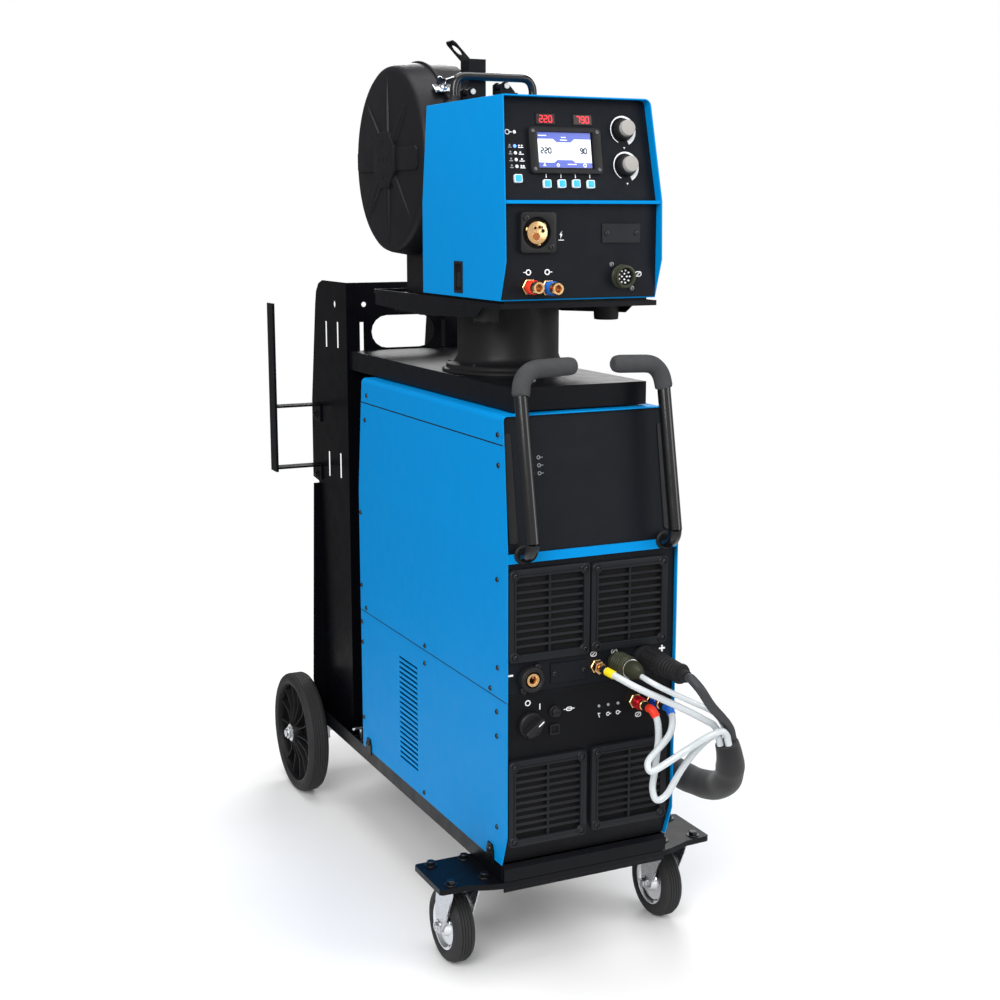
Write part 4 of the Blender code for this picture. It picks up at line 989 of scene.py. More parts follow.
def make_hose_fittings():
    """Brass gas nut, military-style control connector and their ferrules; returns them by cord."""
    gas = Piece("gas_fitting", "cart", "brass")
    where = on_front(0.0068, 0.5058, SEAT)
    gas.add(prism(ngon(0.0115), 0.006, 0.0008), where, "brass")
    gas.add(puck(0.0068, 0.006, 0.0085, 24), where, "brass")
    gas.add(prism(ngon(0.0105, 6, 0.3), 0.009, 0.0008), where @ move(0, 0, 0.0082), "brass")
    gas.add(lathe(mm((0, 17), (5.2, 17), (4.6, 21), (0, 21)), 24), where, "brass")
    gas.done()
    ferrule = Piece("gas_ferrule", "cart", "brass")
    run = smooth_path([spot(*p) for p in CORDS["gas_hose"][5]], 400)
    ferrule.add(swept(run[0:10], 0.0064, 24), STILL, "brass")
    ferrule.add(swept(run[10:22], 0.007, 24), STILL, "plastic_black")
    ferrule.add(swept(run[24:52], 0.0067, 24), STILL, "yellow_plastic")
    ferrules = {"gas_hose": ferrule.done()}

    shell = Piece("control_connector", "cart", "black_plastic")
    where = on_front(0.0444, 0.508, SEAT)
    body = mm((0, 0), (16, 0), (16, 5), (17.2, 6))
    for k in range(5):
        h = 0.008 + 0.0062 * k
        body += [(0.0172, h), (0.018, h + 0.001), (0.018, h + 0.0036), (0.0172, h + 0.0046)]
    body += mm((16.5, 40), (15, 42), (14.6, 56), (12, 66), (8.5, 72), (6, 77), (0, 77))
    shell.add(lathe(body, 40), where, "olive_shell")
    shell.add(lathe(mm((14.7, 45), (15.6, 45.5), (15.6, 47.5), (14.7, 48)), 40, True), where, "steel")
    ferrules["control_cable"] = shell.done()

    for name, x, z, colour in (("return", 0.0788, 0.4385, "red"), ("supply", 0.1107, 0.4357, "blue")):
        body = Piece(f"{name}_coupling_made", "cart", f"{colour}_plastic")
        where = on_front(x, z, SEAT)
        body.add(prism(ngon(0.0125), 0.0065, 0.0008), where, "brass")
        body.add(puck(0.008, 0.0065, 0.009, 28), where, "brass")
        knurl = mm((0, 9), (9.8, 9))
        for k in range(4):
            h = 0.01 + 0.0036 * k
            knurl += [(0.0104, h + 0.0006), (0.0104, h + 0.0024), (0.0096, h + 0.003)]
        knurl += mm((9, 25), (0, 25))
        body.add(lathe(knurl, 36), where, f"{colour}_anodised")
        body.add(lathe(mm((0, 25), (7.8, 25), (7.8, 30), (6.6, 31), (6.6, 34.5), (0, 34.5)), 28), where,
                "brass")
        body.add(lathe(mm((0, 34.5), (7.6, 34.5), (7.6, 40), (6.6, 43), (0, 43)), 28), where,
                "plastic_black")
        body.done(f"{name}_coupling")
        run = smooth_path([spot(*p) for p in CORDS[f"{name}_hose"][5]], 500)
        end = Piece(f"{name}_hose_ferrule", "cart", f"{colour}_plastic")
        end.add(swept(run[0:36], 0.0068, 24), STILL, f"{colour}_plastic")
        ferrules[f"{name}_hose"] = end.done()
    return ferrules


def make_mains_switch():
    """Round rotary switch with a raised grip that points between O and I."""
    knob = Piece("mains_switch_made", "mains_switch", "black_plastic")
    where = on_front(-0.109, 0.425, SEAT)
    knob.add(lathe(mm((0, 0), (20.8, 0), (21, 2), (20.5, 6.8), (18.5, 8.8), (0, 9.2)), 56), where,
            "plastic_black")
    grip = mm((-18.5, -5.2), (15, -5.2), (18.5, -3), (19.2, 0), (18.5, 3), (15, 5.2), (-18.5, 5.2))
    turned = where @ spin_z(math.radians(38)) @ move(0, 0, 0.0085)
    knob.add(prism(grip, 0.015, 0.0022, 3), turned, "plastic_black")
    print_mark(knob, rectangle(0.011, 0.0018), turned @ move(0.0105, 0, 0.015))
    knob.done("mains_switch")


def make_front_marks():
    """Generic symbols, lamps and small covers on the two front panels."""
    marks = Piece("front_marks", "cart", "white_plastic")
    print_mark(marks, rectangle(0.011, 0.003), on_front(-0.144, 0.5085))
    print_mark(marks, rectangle(0.011, 0.003), on_front(0.129, 0.519))
    print_mark(marks, rectangle(0.003, 0.011), on_front(0.129, 0.519, 0.0003))
    ring_mark(marks, 0.0048, 0.0032, 24, on_front(-0.113, 0.4605))
    print_mark(marks, rectangle(0.0018, 0.0095), on_front(-0.092, 0.452))
    fuse = on_front(-0.04, 0.441)
    marks.add(ring_prism(rounded(0.011, 0.0066, 0.003), rounded(0.0086, 0.0042, 0.002), 0.0003), fuse,
            "white_print")
    print_mark(marks, rectangle(0.019, 0.0012), fuse)
    for x, z in mm((2.8, 525), (40.4, 525), (86.5, 413.5)):
        outline = rounded(0.011, 0.008, 0.0036)
        marks.add(ring_prism(outline, rounded(0.0088, 0.0058, 0.0026), 0.0003), on_front(x, z),
                "white_print")
        print_mark(marks, rectangle(0.0066, 0.0012), on_front(x, z, PROUD, 40))
    for k, x in enumerate((0.0137, 0.0305, 0.0485)):
        at = on_front(x, 0.4225)
        if k == 0:
            print_mark(marks, rectangle(0.0012, 0.008), at @ spin_z(0.35))
            print_mark(marks, rectangle(0.0034, 0.0012), at @ move(0.0012, 0.003, 0))
        else:
            ring_mark(marks, 0.0034, 0.0022, 6 if k == 1 else 20, at)
            print_mark(marks, rectangle(0.0026, 0.0011), at @ move(0.0044, 0, 0))
    for z in (0.842, 0.83, 0.818):
        at = on_upper(-0.0845, z)
        ring_mark(marks, 0.003, 0.002, 16, at, "grey_print")
        print_mark(marks, rectangle(0.004, 0.001), at @ move(0.0052, 0, 0), "grey_print")
    marks.done()

    covers = Piece("front_covers", "cart", "black_plastic")
    plate = on_front(-0.042, 0.5028)
    covers.add(prism(rounded(0.064, 0.0325, 0.002), 0.0018, 0.0005), plate, "panel_black")
    for x in (-0.026, 0.026):
        dome_screw(covers, plate @ move(x, 0, 0.0018), 0.0036)
    fuse = on_front(-0.0667, 0.441)
    covers.add(lathe(mm((0, 0), (9, 0), (9, 3), (7.4, 4), (7.4, 10), (6.4, 11.2), (0, 11.2)), 32), fuse,
            "plastic_black")
    # Dark bar on the fuse cap: painted shade for its screwdriver slot.
    covers.add(prism(rectangle(0.0098, 0.0017), 0.0004), fuse @ move(0, 0, 0.0111), "slot_dark")
    small = on_front(-0.0665, 0.4116)
    covers.add(ring_prism(rounded(0.017, 0.017, 0.002), rounded(0.012, 0.012, 0.001), 0.003, 0.0006),
            small, "plastic_black")
    covers.add(prism(rectangle(0.0122, 0.0122), 0.001), small, "slot_dark")
    for x in (0.0137, 0.0305, 0.0485):
        covers.add(lathe(mm((0, 0), (2.4, 0), (2.2, 1.2), (0, 1.8)), 18), on_front(x, 0.438),
                "grey_print")
    for sign in (-1, 1):
        channel = on_upper(sign * 0.137, 0.798)
        covers.add(prism(rounded(0.015, 0.17, 0.005), 0.0022, 0.0008), channel, "plastic_black")
    seam = on_front(0, 0.4753, 0.0001)
    covers.add(prism(rectangle(0.296, 0.0016), 0.0014), seam, "slot_dark")
    covers.done()


def make_rear_panels():
    """Louvred back panels, inlet gland and fan grille at the rear of the cases."""
    back = Piece("case_backs", "cart", "black_plastic")
    for low, high in mm((470, 895), (198, 462)):
        middle = place(TO_REAR, 0, CASE_DEPTH + 0.0002, (low + high) / 2)
        back.add(prism(rounded(0.284, high - low - 0.006, 0.004), 0.0022, 0.0006), middle, "panel_black")
        for sx in (-0.134, 0.134):
            for z in (low + 0.012, high - 0.012):
                dome_screw(back, place(TO_REAR, sx, CASE_DEPTH + 0.0024, z), 0.0044)
    fan = place(TO_REAR, 0, CASE_DEPTH + 0.0024, 0.69)
    for k in range(6):
        r = 0.018 + 0.015 * k
        back.add(lathe([(r - 0.0014, 0), (r + 0.0014, 0), (r + 0.0014, 0.003), (r - 0.0014, 0.003)], 56,
                True), fan, "steel")
    for k in range(4):
        back.add(prism(rectangle(0.186, 0.0026), 0.002), fan @ spin_z(math.pi * k / 4), "steel")
    # Dark strips for the louvre openings: painted shade.
    for k in range(12):
        back.add(prism(rounded(0.2, 0.0042, 0.002), 0.0004), place(TO_REAR, 0, CASE_DEPTH + 0.0022, 0.25
                + 0.012 * k), "slot_dark")
    gland = place(TO_REAR, 0.09, CASE_DEPTH + 0.0024, 0.52)
    back.add(prism(ngon(0.017), 0.006, 0.001), gland, "plastic_black")
    back.add(lathe(mm((0, 6), (14.5, 6), (14.5, 16), (12, 22), (9.5, 22), (9.5, 19), (0, 19)), 32), gland,
            "plastic_black")
    back.done()


# Wire feeder

def make_feeder_shell():
    top = 1.383
    outer = lambda v: v.z > top - 0.0005
    inner = lambda v: abs(v.z - (top - 0.002)) < 0.0003
    shell_side = lambda v: outer(v) and v.x > 0.1
    shell_inner = lambda v: inner(v) and v.x > 0.1
    dressed("feeder_shell", "blue_paint", "blue_paint", "feeder", rounds=((shell_side, 0.01),
            (shell_inner, 0.0075)))
    door_top = lambda v: outer(v) and v.x < -0.1265
    dressed("feeder_door", "blue_paint", "blue_paint", "feeder_door", rounds=((door_top, 0.0014),))
    dressed("control_panel", "panel_black", "black_plastic", "feeder", 0.0003)
    dressed("lower_panel", "panel_black", "black_plastic", "feeder", 0.0003)
    latch = Piece("door_latch", "feeder_door", "black_plastic")
    where = place(TO_LEFT, -0.1362, 0.21, 1.1098)
    slot = rounded(0.033, 0.05, 0.002)
    latch.add(ring_prism(slot, rounded(0.025, 0.041, 0.0015), 0.001, 0.0003), where, "plastic_black")
    # Dark sheet at the bottom of the latch recess: painted shade.
    latch.add(prism(rectangle(0.028, 0.044), 0.0008), where @ move(0, 0, -0.002), "slot_dark")
    latch.add(prism(rounded(0.013, 0.023, 0.002), 0.0016, 0.0005), where @ move(0, -0.004, -0.0014),
            "plastic_black")
    latch.done()


def make_hinges():
    """Two black hinge brackets on the feeder's top left edge, each with a bright pin."""
    for k, y in enumerate((0.095, 0.215)):
        bracket = Piece(f"hinge_bracket_{k + 1}", "feeder", "black_paint")
        for dy in (-0.015, 0.0125):
            ear = prism(mm((0, 0), (23, 0), (23, 3.5), (15, 11.5), (10.5, 17.5), (5, 18), (0, 14)),
                    0.0025, 0.0005)
            ear.transform(facing(X_AXIS, Z_AXIS))
            bracket.add(ear, Matrix.Translation(spot(-0.1235, y + dy + 0.0025, 1.3838)), "cart_black")
        bracket.add(prism(rounded(0.026, 0.032, 0.003), 0.0022, 0.0006), place(TO_TOP, -0.108, y, 1.3836),
                "cart_black")
        dome_screw(bracket, place(TO_TOP, -0.103, y, 1.3858), 0.004, "zinc")
        pin = place(facing(X_AXIS, (0, 0, 1)), -0.116, y + 0.019, 1.395)
        bracket.add(puck(0.0026, 0, 0.038, 18), pin, "zinc")
        bracket.add(puck(0.0042, -0.0015, 0.0008, 18), pin @ move(0, 0, 0.038), "zinc")
        bracket.done()
        leaf = Piece(f"hinge_leaf_{k + 1}", "feeder", "black_paint")
        leaf.add(lathe(mm((2.7, 0), (5, 0), (5, 20), (2.7, 20)), 20, True),
                place(facing(X_AXIS, (0, 0, 1)), -0.116, y + 0.01, 1.395), "cart_black")
        leaf.done()


def make_displays():
    unit = Piece("display_unit_made", "feeder", "black_plastic")
    where = on_control(-0.0213, 1.3018, SEAT)
    unit.add(ring_prism(rounded(0.123, 0.07, 0.006), rounded(0.095, 0.055, 0.002), 0.006, 0.0016), where,
            "plastic_black")
    unit.add(prism(rectangle(0.097, 0.057), 0.0014), where, "slot_dark")
    for corner in corners(where, 0.0548, 0.0285, 0.0058):
        dome_screw(unit, corner, 0.003, "dull_steel")
    screen = where @ move(-0.002, 0.001, 0.0014)
    unit.add(prism(rectangle(0.093, 0.053), 0.001), screen, "screen_white")
    face = screen @ move(0, 0, 0.001)
    top = mm((-46.5, 26.5), (-46.5, 16.5), (-18, 16.5), (-12, 11.5), (12, 11.5), (18, 16.5), (46.5, 16.5),
            (46.5, 26.5))
    unit.add(prism(top, 0.0003), face, "screen_blue")
    low = mm((-46.5, -26.5), (46.5, -26.5), (46.5, -19), (18, -19), (13, -15), (-13, -15), (-18, -19),
            (-46.5, -19))
    unit.add(prism(low, 0.0003), face, "screen_blue")
    number(unit, "220", face @ move(-0.031, -0.001, 0.0001), 0.0088, "screen_ink", 0.24)
    number(unit, "90", face @ move(0.033, -0.001, 0.0001), 0.0088, "screen_ink", 0.24)
    for x, sides in ((-0.035, 3), (-0.012, 4), (0.034, 8)):
        unit.add(ring_prism(ngon(0.0032, sides, math.pi / 2), ngon(0.0018, sides, math.pi / 2), 0.0004),
                face @ move(x, -0.0228, 0.0001), "screen_white")
    for x, y, w in mm((-36, 21.5, 14), (0, 19, 8), (0, 15, 12), (12, -21.5, 15)):
        print_mark(unit, rectangle(w, 0.0012), face @ move(x, y, 0.0002), "screen_white")
    for x in (-0.031, 0.033):
        print_mark(unit, rectangle(0.015, 0.0009), face @ move(x, -0.008, 0), "grey_print")
        print_mark(unit, ngon(0.0016, 3, math.pi / 2), face @ move(x, 0.008, 0), "grey_print")
    unit.done("display_unit")

    meters = Piece("number_displays", "feeder", "black_plastic")
    for x, text in ((-0.0504, "220"), (0.0131, "790")):
        at = on_control(x, 1.349)
        meters.add(prism(rounded(0.0345, 0.018, 0.0015), 0.0008, 0.0003), at, "slot_dark")
        meters.add(prism(rectangle(0.031, 0.0145), 0.0003), at @ move(0, 0, 0.0008), "led_red_off")
        number(meters, text, at @ move(0, 0, 0.0011), 0.0108, "led_red", 0.11)
    meters.done()


def make_panel_marks():
    """Row lamps, dial arcs and other plain symbols of the control panel."""
    marks = Piece("control_marks", "feeder", "white_plastic")
    lens = mm((0, 0), (2.7, 0), (2.2, 1), (0, 1.4))
    for k in range(4):
        z = 1.308 - 0.01 * k
        lamp = on_control(-0.105 + 0.0004 * k, z)
        marks.add(lathe(lens, 18), lamp, "white_print" if k else "led_blue")
        print_mark(marks, rectangle(0.006, 0.0013), lamp @ move(-0.0085, -0.0018, 0), "grey_print")
        print_mark(marks, ngon(0.0017, 5), lamp @ move(-0.0085, 0.0014, 0), "grey_print")
        print_mark(marks, rectangle(0.0085, 0.0012), lamp @ move(0.0095, -0.002, 0))
        for dx in ((0.007, 0.0115), (0.008,), (0.0095,), (0.0075, 0.0112))[k]:
            print_mark(marks, ngon(0.0016, 4 + k), lamp @ move(dx, 0.0008, 0))
    mode = on_control(-0.104, 1.3286)
    marks.add(lathe(lens, 18), mode, "white_print")
    ring_mark(marks, 0.004, 0.0029, 20, mode @ move(-0.012, 0, 0))
    print_mark(marks, rectangle(0.005, 0.0012), mode @ move(-0.0068, 0, 0))
    for x in (-0.0559, -0.0308, -0.006, 0.019):
        print_mark(marks, rectangle(0.0014, 0.006), on_control(x, 1.2645))
    for x, z in KNOBS.values():
        at = on_control(x, z)
        marks.add(prism(growing_band(0.0208, 0.001, 0.0064, 244, -66), 0.0003), at, "white_print")
        print_mark(marks, ngon(0.002, 3, -math.pi / 2), at @ move(0.001, -0.027, 0))
        print_mark(marks, rectangle(0.0048, 0.0012), at @ move(0.019, 0.0085, 0))
    marks.done()

    lower = Piece("lower_panel_marks", "feeder", "white_plastic")
    spark = on_lower(-0.035, 1.177)
    print_mark(lower, mm((-1, -6), (2.6, 1), (0.4, 1), (2.2, 6), (-2.6, -0.2), (-0.4, -0.2)), spark)
    print_mark(lower, rectangle(0.0095, 0.0011), spark @ move(0.0005, -0.0078, 0))
    for x in (-0.09, -0.058):
        at = on_lower(x, 1.1215)
        ring_mark(lower, 0.0046, 0.0028, 22, at)
        way = -1 if x < -0.07 else 1
        print_mark(lower, rectangle(0.005, 0.0013), at @ move(way * 0.0062, 0, 0))
    at = on_lower(0.102, 1.116)
    lower.add(ring_prism(rounded(0.012, 0.008, 0.0036), rounded(0.0096, 0.0056, 0.0026), 0.0003), at,
            "white_print")
    print_mark(lower, rectangle(0.007, 0.0012), at @ spin_z(0.7))
    lower.done()


def make_knob(name, x, z):
    """Black skirted encoder knob with a taupe cap, finely ribbed round its side."""
    knob = Piece(f"knob_{name}_made", f"knob_{name}", "taupe_plastic")
    where = on_control(x, z, SEAT)
    knob.add(lathe(mm((0, 0), (16, 0), (16.3, 1.2), (16, 8), (14.8, 11), (12.8, 12), (0, 12)), 56), where,
            "plastic_black")
    for k in range(36):
        turn = spin_z(math.tau * k / 36)
        rib = prism(rectangle(0.001, 0.0058), 0.0004)
        rib.transform(move(0.0159, 0, 0.0045) @ facing(Y_AXIS, Z_AXIS))
        knob.add(rib, where @ turn, "plastic_black")
    knob.add(lathe(mm((0, 11.8), (12.4, 11.8), (12.4, 18.2), (11.7, 19.6), (10, 20.1), (0, 20.3)), 56),
            where, "taupe_cap")
    knob.done(f"knob_{name}")


def make_button(name, x, z):
    cap = Piece(f"button_{name}_made", f"button_{name}", "pale_blue_plastic")
    where = on_control(x, z, -0.0034)
    cap.add(prism(rounded(0.013, 0.0125, 0.0022), 0.0072, 0.0006, 2), where, "white_print")
    cap.add(prism(rounded(0.0106, 0.0101, 0.0016), 0.0009, 0.0004, 2), where @ move(0, 0, 0.0068),
            "cyan_button")
    cap.done(f"button_{name}")


def make_torch_connector():
    """Square flange round a brass Euro-style socket with one large and four small holes."""
    torch = Piece("torch_connector_made", "feeder", "brass")
    flange = on_lower(-0.0763, 1.181, SEAT)
    wide = rounded(0.06, 0.061, 0.006, 5)
    centre = [(x - 0.0029, y - 0.0005) for x, y in ngon(0.0235, len(wide), -math.pi / 2 + 0.13)]
    torch.add(ring_prism(wide, centre, 0.0075, 0.0014), flange, "plastic_black")
    for sx, sy in ((-1, 1), (1, -1)):
        dome_screw(torch, flange @ move(sx * 0.0215, sy * 0.0215, 0.0074), 0.0046)
    face = on_lower(-0.0792, 1.1805, SEAT)
    # Dark disc round the socket body: painted shade in the gap inside the flange.
    torch.add(puck(0.0236, 0, 0.0012, 40), face, "slot_dark")
    body = mm((0, 1), (17.8, 1), (17.8, 7), (16.8, 8.6), (15.6, 9.1), (0, 9.1))
    torch.add(lathe(body, 48), face, "brass")
    for k in range(3):
        turn = spin_z(math.tau * (k + 0.35) / 3)
        torch.add(prism(rounded(0.006, 0.006, 0.0012), 0.0016, 0.0004), face @ turn
                @ move(0.0176, 0, 0.0045) @ facing(Y_AXIS, Z_AXIS), "brass")
    # The holes are brass lips over flat discs: the darkened copper in the large hole and slot_dark in the
    # small ones are painted shade standing for the holes' depth.
    for x, y, radius, dark in ((-0.0028, -0.0056, 0.0058, "bore_copper_painted_shade"),
            (-0.0044, 0.007, 0.0023, "slot_dark"), (0.003, 0.0082, 0.0023, "slot_dark"),
            (0.0088, 0.0028, 0.0027, "slot_dark"), (0.007, 0.0082, 0.0014, "slot_dark")):
        hole = face @ move(x, y, 0.0089)
        torch.add(lathe([(radius, 0), (radius + 0.0011, 0), (radius + 0.0008, 0.001), (radius, 0.001)],
                28, True), hole, "brass")
        torch.add(puck(radius, 0.0002, 0.0004, 24), hole, dark)
    torch.done("torch_connector")


def make_feeder_sockets():
    sockets = Piece("feeder_sockets", "feeder", "brass")
    for x, z, ring in ((-0.0917, 1.0998, "red_plastic"), (-0.0593, 1.0978, "blue_plastic")):
        at = on_lower(x, z)
        sockets.add(prism(ngon(0.0128), 0.0095, 0.001), at, "brass")
        sockets.add(puck(0.0084, 0.0095, 0.012, 28), at, "brass")
        sockets.add(lathe(mm((0, 12), (10.2, 12), (10.8, 14), (10.8, 25), (9.8, 27.5), (0, 27.5)), 32),
                at, ring)
        end = mm((5.2, 27), (9.5, 27), (9.5, 38.5), (8.6, 40.2), (6, 40.2), (5.2, 39))
        sockets.add(lathe(end, 32, True), at, "brass")
        # Darkened copper disc in the socket's bore: painted shade for the bore's depth.
        sockets.add(puck(0.005, 0.027, 0.033, 20), at, "bore_copper_painted_shade")
    pins = on_lower(0.0722, 1.1128)
    shell = mm((13.5, 0), (18.5, 0), (18.5, 3), (17, 4), (17.6, 8), (16.6, 9.5), (17.2, 15), (15, 15.6),
            (13.5, 15))
    sockets.add(lathe(shell, 40, True), pins, "olive_shell")
    sockets.add(puck(0.0136, 0, 0.008, 32), pins, "slot_dark")
    for ring, count in ((0.0096, 9), (0.0044, 4)):
        for k in range(count):
            angle = math.tau * k / count
            at = pins @ move(ring * math.cos(angle), ring * math.sin(angle), 0.0078)
            sockets.add(lathe(mm((0, 0), (1.5, 0), (1.3, 1.8), (0, 2.2)), 12), at, "white_print")
    for sx, sy in ((-1, 1), (1, -1)):
        dome_screw(sockets, pins @ move(sx * 0.0185, sy * 0.0185, 0), 0.0044, "dull_steel")
    blank = on_lower(0.07, 1.179)
    sockets.add(prism(rounded(0.068, 0.03, 0.002), 0.002, 0.0006), blank, "grille_black")
    for x in (-0.026, 0.026):
        dome_screw(sockets, blank @ move(x, 0, 0.002), 0.004)
    sockets.done()


def make_carry_handle():
    """Moulded bow with flared feet over the feeder's top."""
    middle, y, half, top = -0.031, 0.3, 0.071, 1.4275
    bend = [(half, 1.3838), (half, 1.395), (half - 0.0005, top - 0.017), (half - 0.0055, top - 0.006),
            (half - 0.016, top - 0.0005), (0.03, top)]
    route = [(middle - x, y, z) for x, z in bend] + [(middle + x, y, z) for x, z in bend[::-1]]
    bow = Piece("carry_handle_made", "feeder", "black_plastic")
    bow.add(swept(smooth_path([spot(*p) for p in route], 90), 0.0068, 24), STILL, "handle_black")
    for sign in (-1, 1):
        foot = mm((0, 0), (15, 0), (15, 2.2), (10.5, 5), (7.8, 12), (0, 12))
        bow.add(lathe(foot, 32), place(TO_TOP, middle + sign * half, y, 1.3838), "plastic_black")
    bow.done("carry_handle")


# Spool drum

def tapered_rib():
    """Rib that narrows and sinks away towards the cover's rim, out along local X."""
    bm = bmesh.new()
    sections = ((0.046, 0.0125, 0.007), (0.08, 0.01, 0.0062), (0.115, 0.0065, 0.0045),
            (0.146, 0.002, 0.0012))
    rings = [[bm.verts.new(p) for p in ((x, -w, 0), (x, -w * 0.7, h * 0.8), (x, -w * 0.4, h), (x, w * 0.4, h),
                                        (x, w * 0.7, h * 0.8), (x, w, 0))] for x, w, h in sections]
    for a, b in zip(rings, rings[1:]):
        for k in range(6):
            bm.faces.new((a[k], a[(k + 1) % 6], b[(k + 1) % 6], b[k]))
    bm.faces.new(rings[0])
    bm.faces.new(rings[-1])
    return bm


def make_drum():
    """Round cover with a raised octagon, tapered ribs and bosses, sealed by a rubber ring."""
    cover = Piece("drum_cover_made", "drum_cover", "black_plastic")
    where = place(facing(-Y_AXIS, Z_AXIS), 0, SPOOL_Y, SPOOL_Z)
    out = -RING_X
    profile = [(0, 0.133), (0.148, 0.131), (0.153, 0.1296), (0.1575, 0.1262), (0.16, 0.12),
            (DRUM_R, out + 0.011), (DRUM_R, out + 0.0004), (DRUM_R - 0.0025, out + 0.0004),
            (DRUM_R - 0.0027, out + 0.01), (0.1552, 0.122), (0.15, 0.1274), (0.147, 0.1286), (0, 0.1306)]
    cover.add(lathe(profile, 128), where, "drum_plastic")
    cover.add(prism(ngon(0.052, 8, math.pi / 8), 0.0095, 0.004, 3), where @ move(0, 0, 0.131),
            "drum_plastic")
    for angle in (45, 90, 135, 225, 270, 315):
        turn = where @ spin_z(math.radians(angle))
        cover.add(tapered_rib(), turn @ move(0, 0, 0.13), "drum_plastic")
    for angle in (0, 180):
        turn = where @ spin_z(math.radians(angle))
        boss = mm((48, -20), (133, -20), (139, -14), (139, 14), (133, 20), (48, 20))
        cover.add(prism(boss, 0.0062, 0.003, 2), turn @ move(0, 0, 0.13), "drum_plastic")
    # Dark marks for the slots in the cover's centre: painted shade.
    for x, y in mm((0, 0), (-19, 0), (19, 0), (0, 30), (0, -30)):
        cover.add(prism(rounded(0.0042, 0.009, 0.0015), 0.0003), where @ move(x, y, 0.1404), "slot_dark")
    cover.done("drum_cover")
    ring = Piece("drum_seal", "feeder", "rubber")
    seal = [(0.165, out - 0.0046), (0.168, out - 0.0046), (0.1686, out - 0.0036), (0.1686, out - 0.0012),
            (0.1678, out - 0.0002), (0.165, out - 0.0002)]
    ring.add(lathe(seal, 128, True), where, "soft_rubber")
    ring.done()


def make_spool():
    """Black reel full of wire, seen when the cover slides off."""
    spool = Piece("wire_spool_made", "wire_spool", "winding")
    where = place(facing(Y_AXIS, Z_AXIS), 0, SPOOL_Y, SPOOL_Z)
    for x in (-0.124, -0.031):
        flange = [(0.0255, x), (0.1485, x), (0.149, x + 0.0008), (0.149, x + 0.0022), (0.1485, x + 0.003),
                (0.0255, x + 0.003)]
        spool.add(lathe(flange, 72, True), where, "plastic_black")
    wire = mm((25.5, -120.9), (132, -120.9), (132, -31.1), (25.5, -31.1))
    spool.add(lathe(wire, 72, True), where, "wound_wire")
    for k in range(6):
        turn = spin_z(math.tau * k / 6)
        spool.add(prism(rounded(0.08, 0.0075, 0.003), 0.0016, 0.0005), where @ turn
                @ move(0.085, 0, -0.1256), "plastic_black")
    spool.done("wire_spool")


def make_drum_latch():
    """Chrome draw latch with a two-winged turning key."""
    angle = math.radians(125)
    out = Vector((0, math.cos(angle), math.sin(angle)))
    seat = spot(RING_X, SPOOL_Y, SPOOL_Z) + out * (DRUM_R + 0.0004) + X_AXIS.cross(out) * 0.04
    where = Matrix.Translation(seat) @ facing(X_AXIS, out.cross(X_AXIS))
    latch = Piece("drum_latch_made", "drum_latch", "zinc")
    latch.add(prism(rounded(0.036, 0.022, 0.004), 0.003, 0.0008, 2), where, "chrome")
    latch.add(lathe(mm((0, 3), (7, 3), (6.4, 6), (5, 7.5), (5, 12), (0, 12)), 28), where, "chrome")
    for side in (-1, 1):
        wing = mm((0, -3.5), (6, -5), (12, -8.5), (15.5, -6), (16, 0), (15.5, 6), (12, 8.5), (6, 5),
                (0, 3.5))
        blade = prism(wing, 0.0022, 0.0006)
        blade.transform(move(0, 0.0011, 0.016) @ facing(X_AXIS, Z_AXIS))
        latch.add(blade, where @ spin_z(math.pi * (side < 0)), "chrome")
    latch.done("drum_latch")


def make_rolls():
    for name, z in (("drive_roll", 1.1625), ("pressure_roll", 1.2)):
        roll = Piece(f"{name}_made", name, "steel")
        where = place(facing(Y_AXIS, Z_AXIS), 0, 0.2, z)
        body = mm((0, -90), (7, -90), (7.8, -89.2), (7.8, -85.2), (16.5, -85), (17.5, -84.2),
                (17.5, -79.5), (16.6, -78.3), (17.5, -77.1), (17.5, -72.3), (16.8, -71.5), (6, -71.5),
                (6, 4), (0, 4))
        roll.add(lathe(body, 48), where, "steel")
        for k in range(10):
            turn = spin_z(math.tau * k / 10)
            roll.add(prism(rectangle(0.0016, 0.004), 0.0008), where @ turn @ move(0.0077, 0, -0.0872)
                    @ facing(Y_AXIS, Z_AXIS), "steel")
        roll.done(name)


# Everything else keeps its CAD shape

def dress_the_rest():
    for row in (("cart_tray", "cart_black", "cart_paint", "cart", 0.0009),
            ("caster_plate", "cart_black", "cart_paint", "cart", 0.0016),
            # The upright panel takes the darkened black paint: partly painted shade.
            ("rear_axle", "zinc", "zinc", "cart", 0.0008), ("upright_panel", "upright_black_painted_shade",
            "cart_paint", "cart", 0.0005), ("cable_hook", "cart_black", "cart_paint", "cart", 0.0008),
            ("lower_shelf", "cart_black", "cart_paint", "cart", 0.0007), ("feeder_platform", "cart_black",
            "cart_paint", "feeder", 0.0006), ("lifting_bracket", "cart_black", "black_paint", "feeder",
            0.0007), ("spool_housing", "drum_plastic", "black_plastic", "feeder", 0.0008),
            ("transformer", "copper", "winding", "cart", 0.002), ("cooling_fan", "plastic_black",
            "black_plastic", "cooling_fan", 0.0005), ("coolant_tank", "tank_white", "white_plastic",
            "cart", 0.003)):
        dressed(*row)


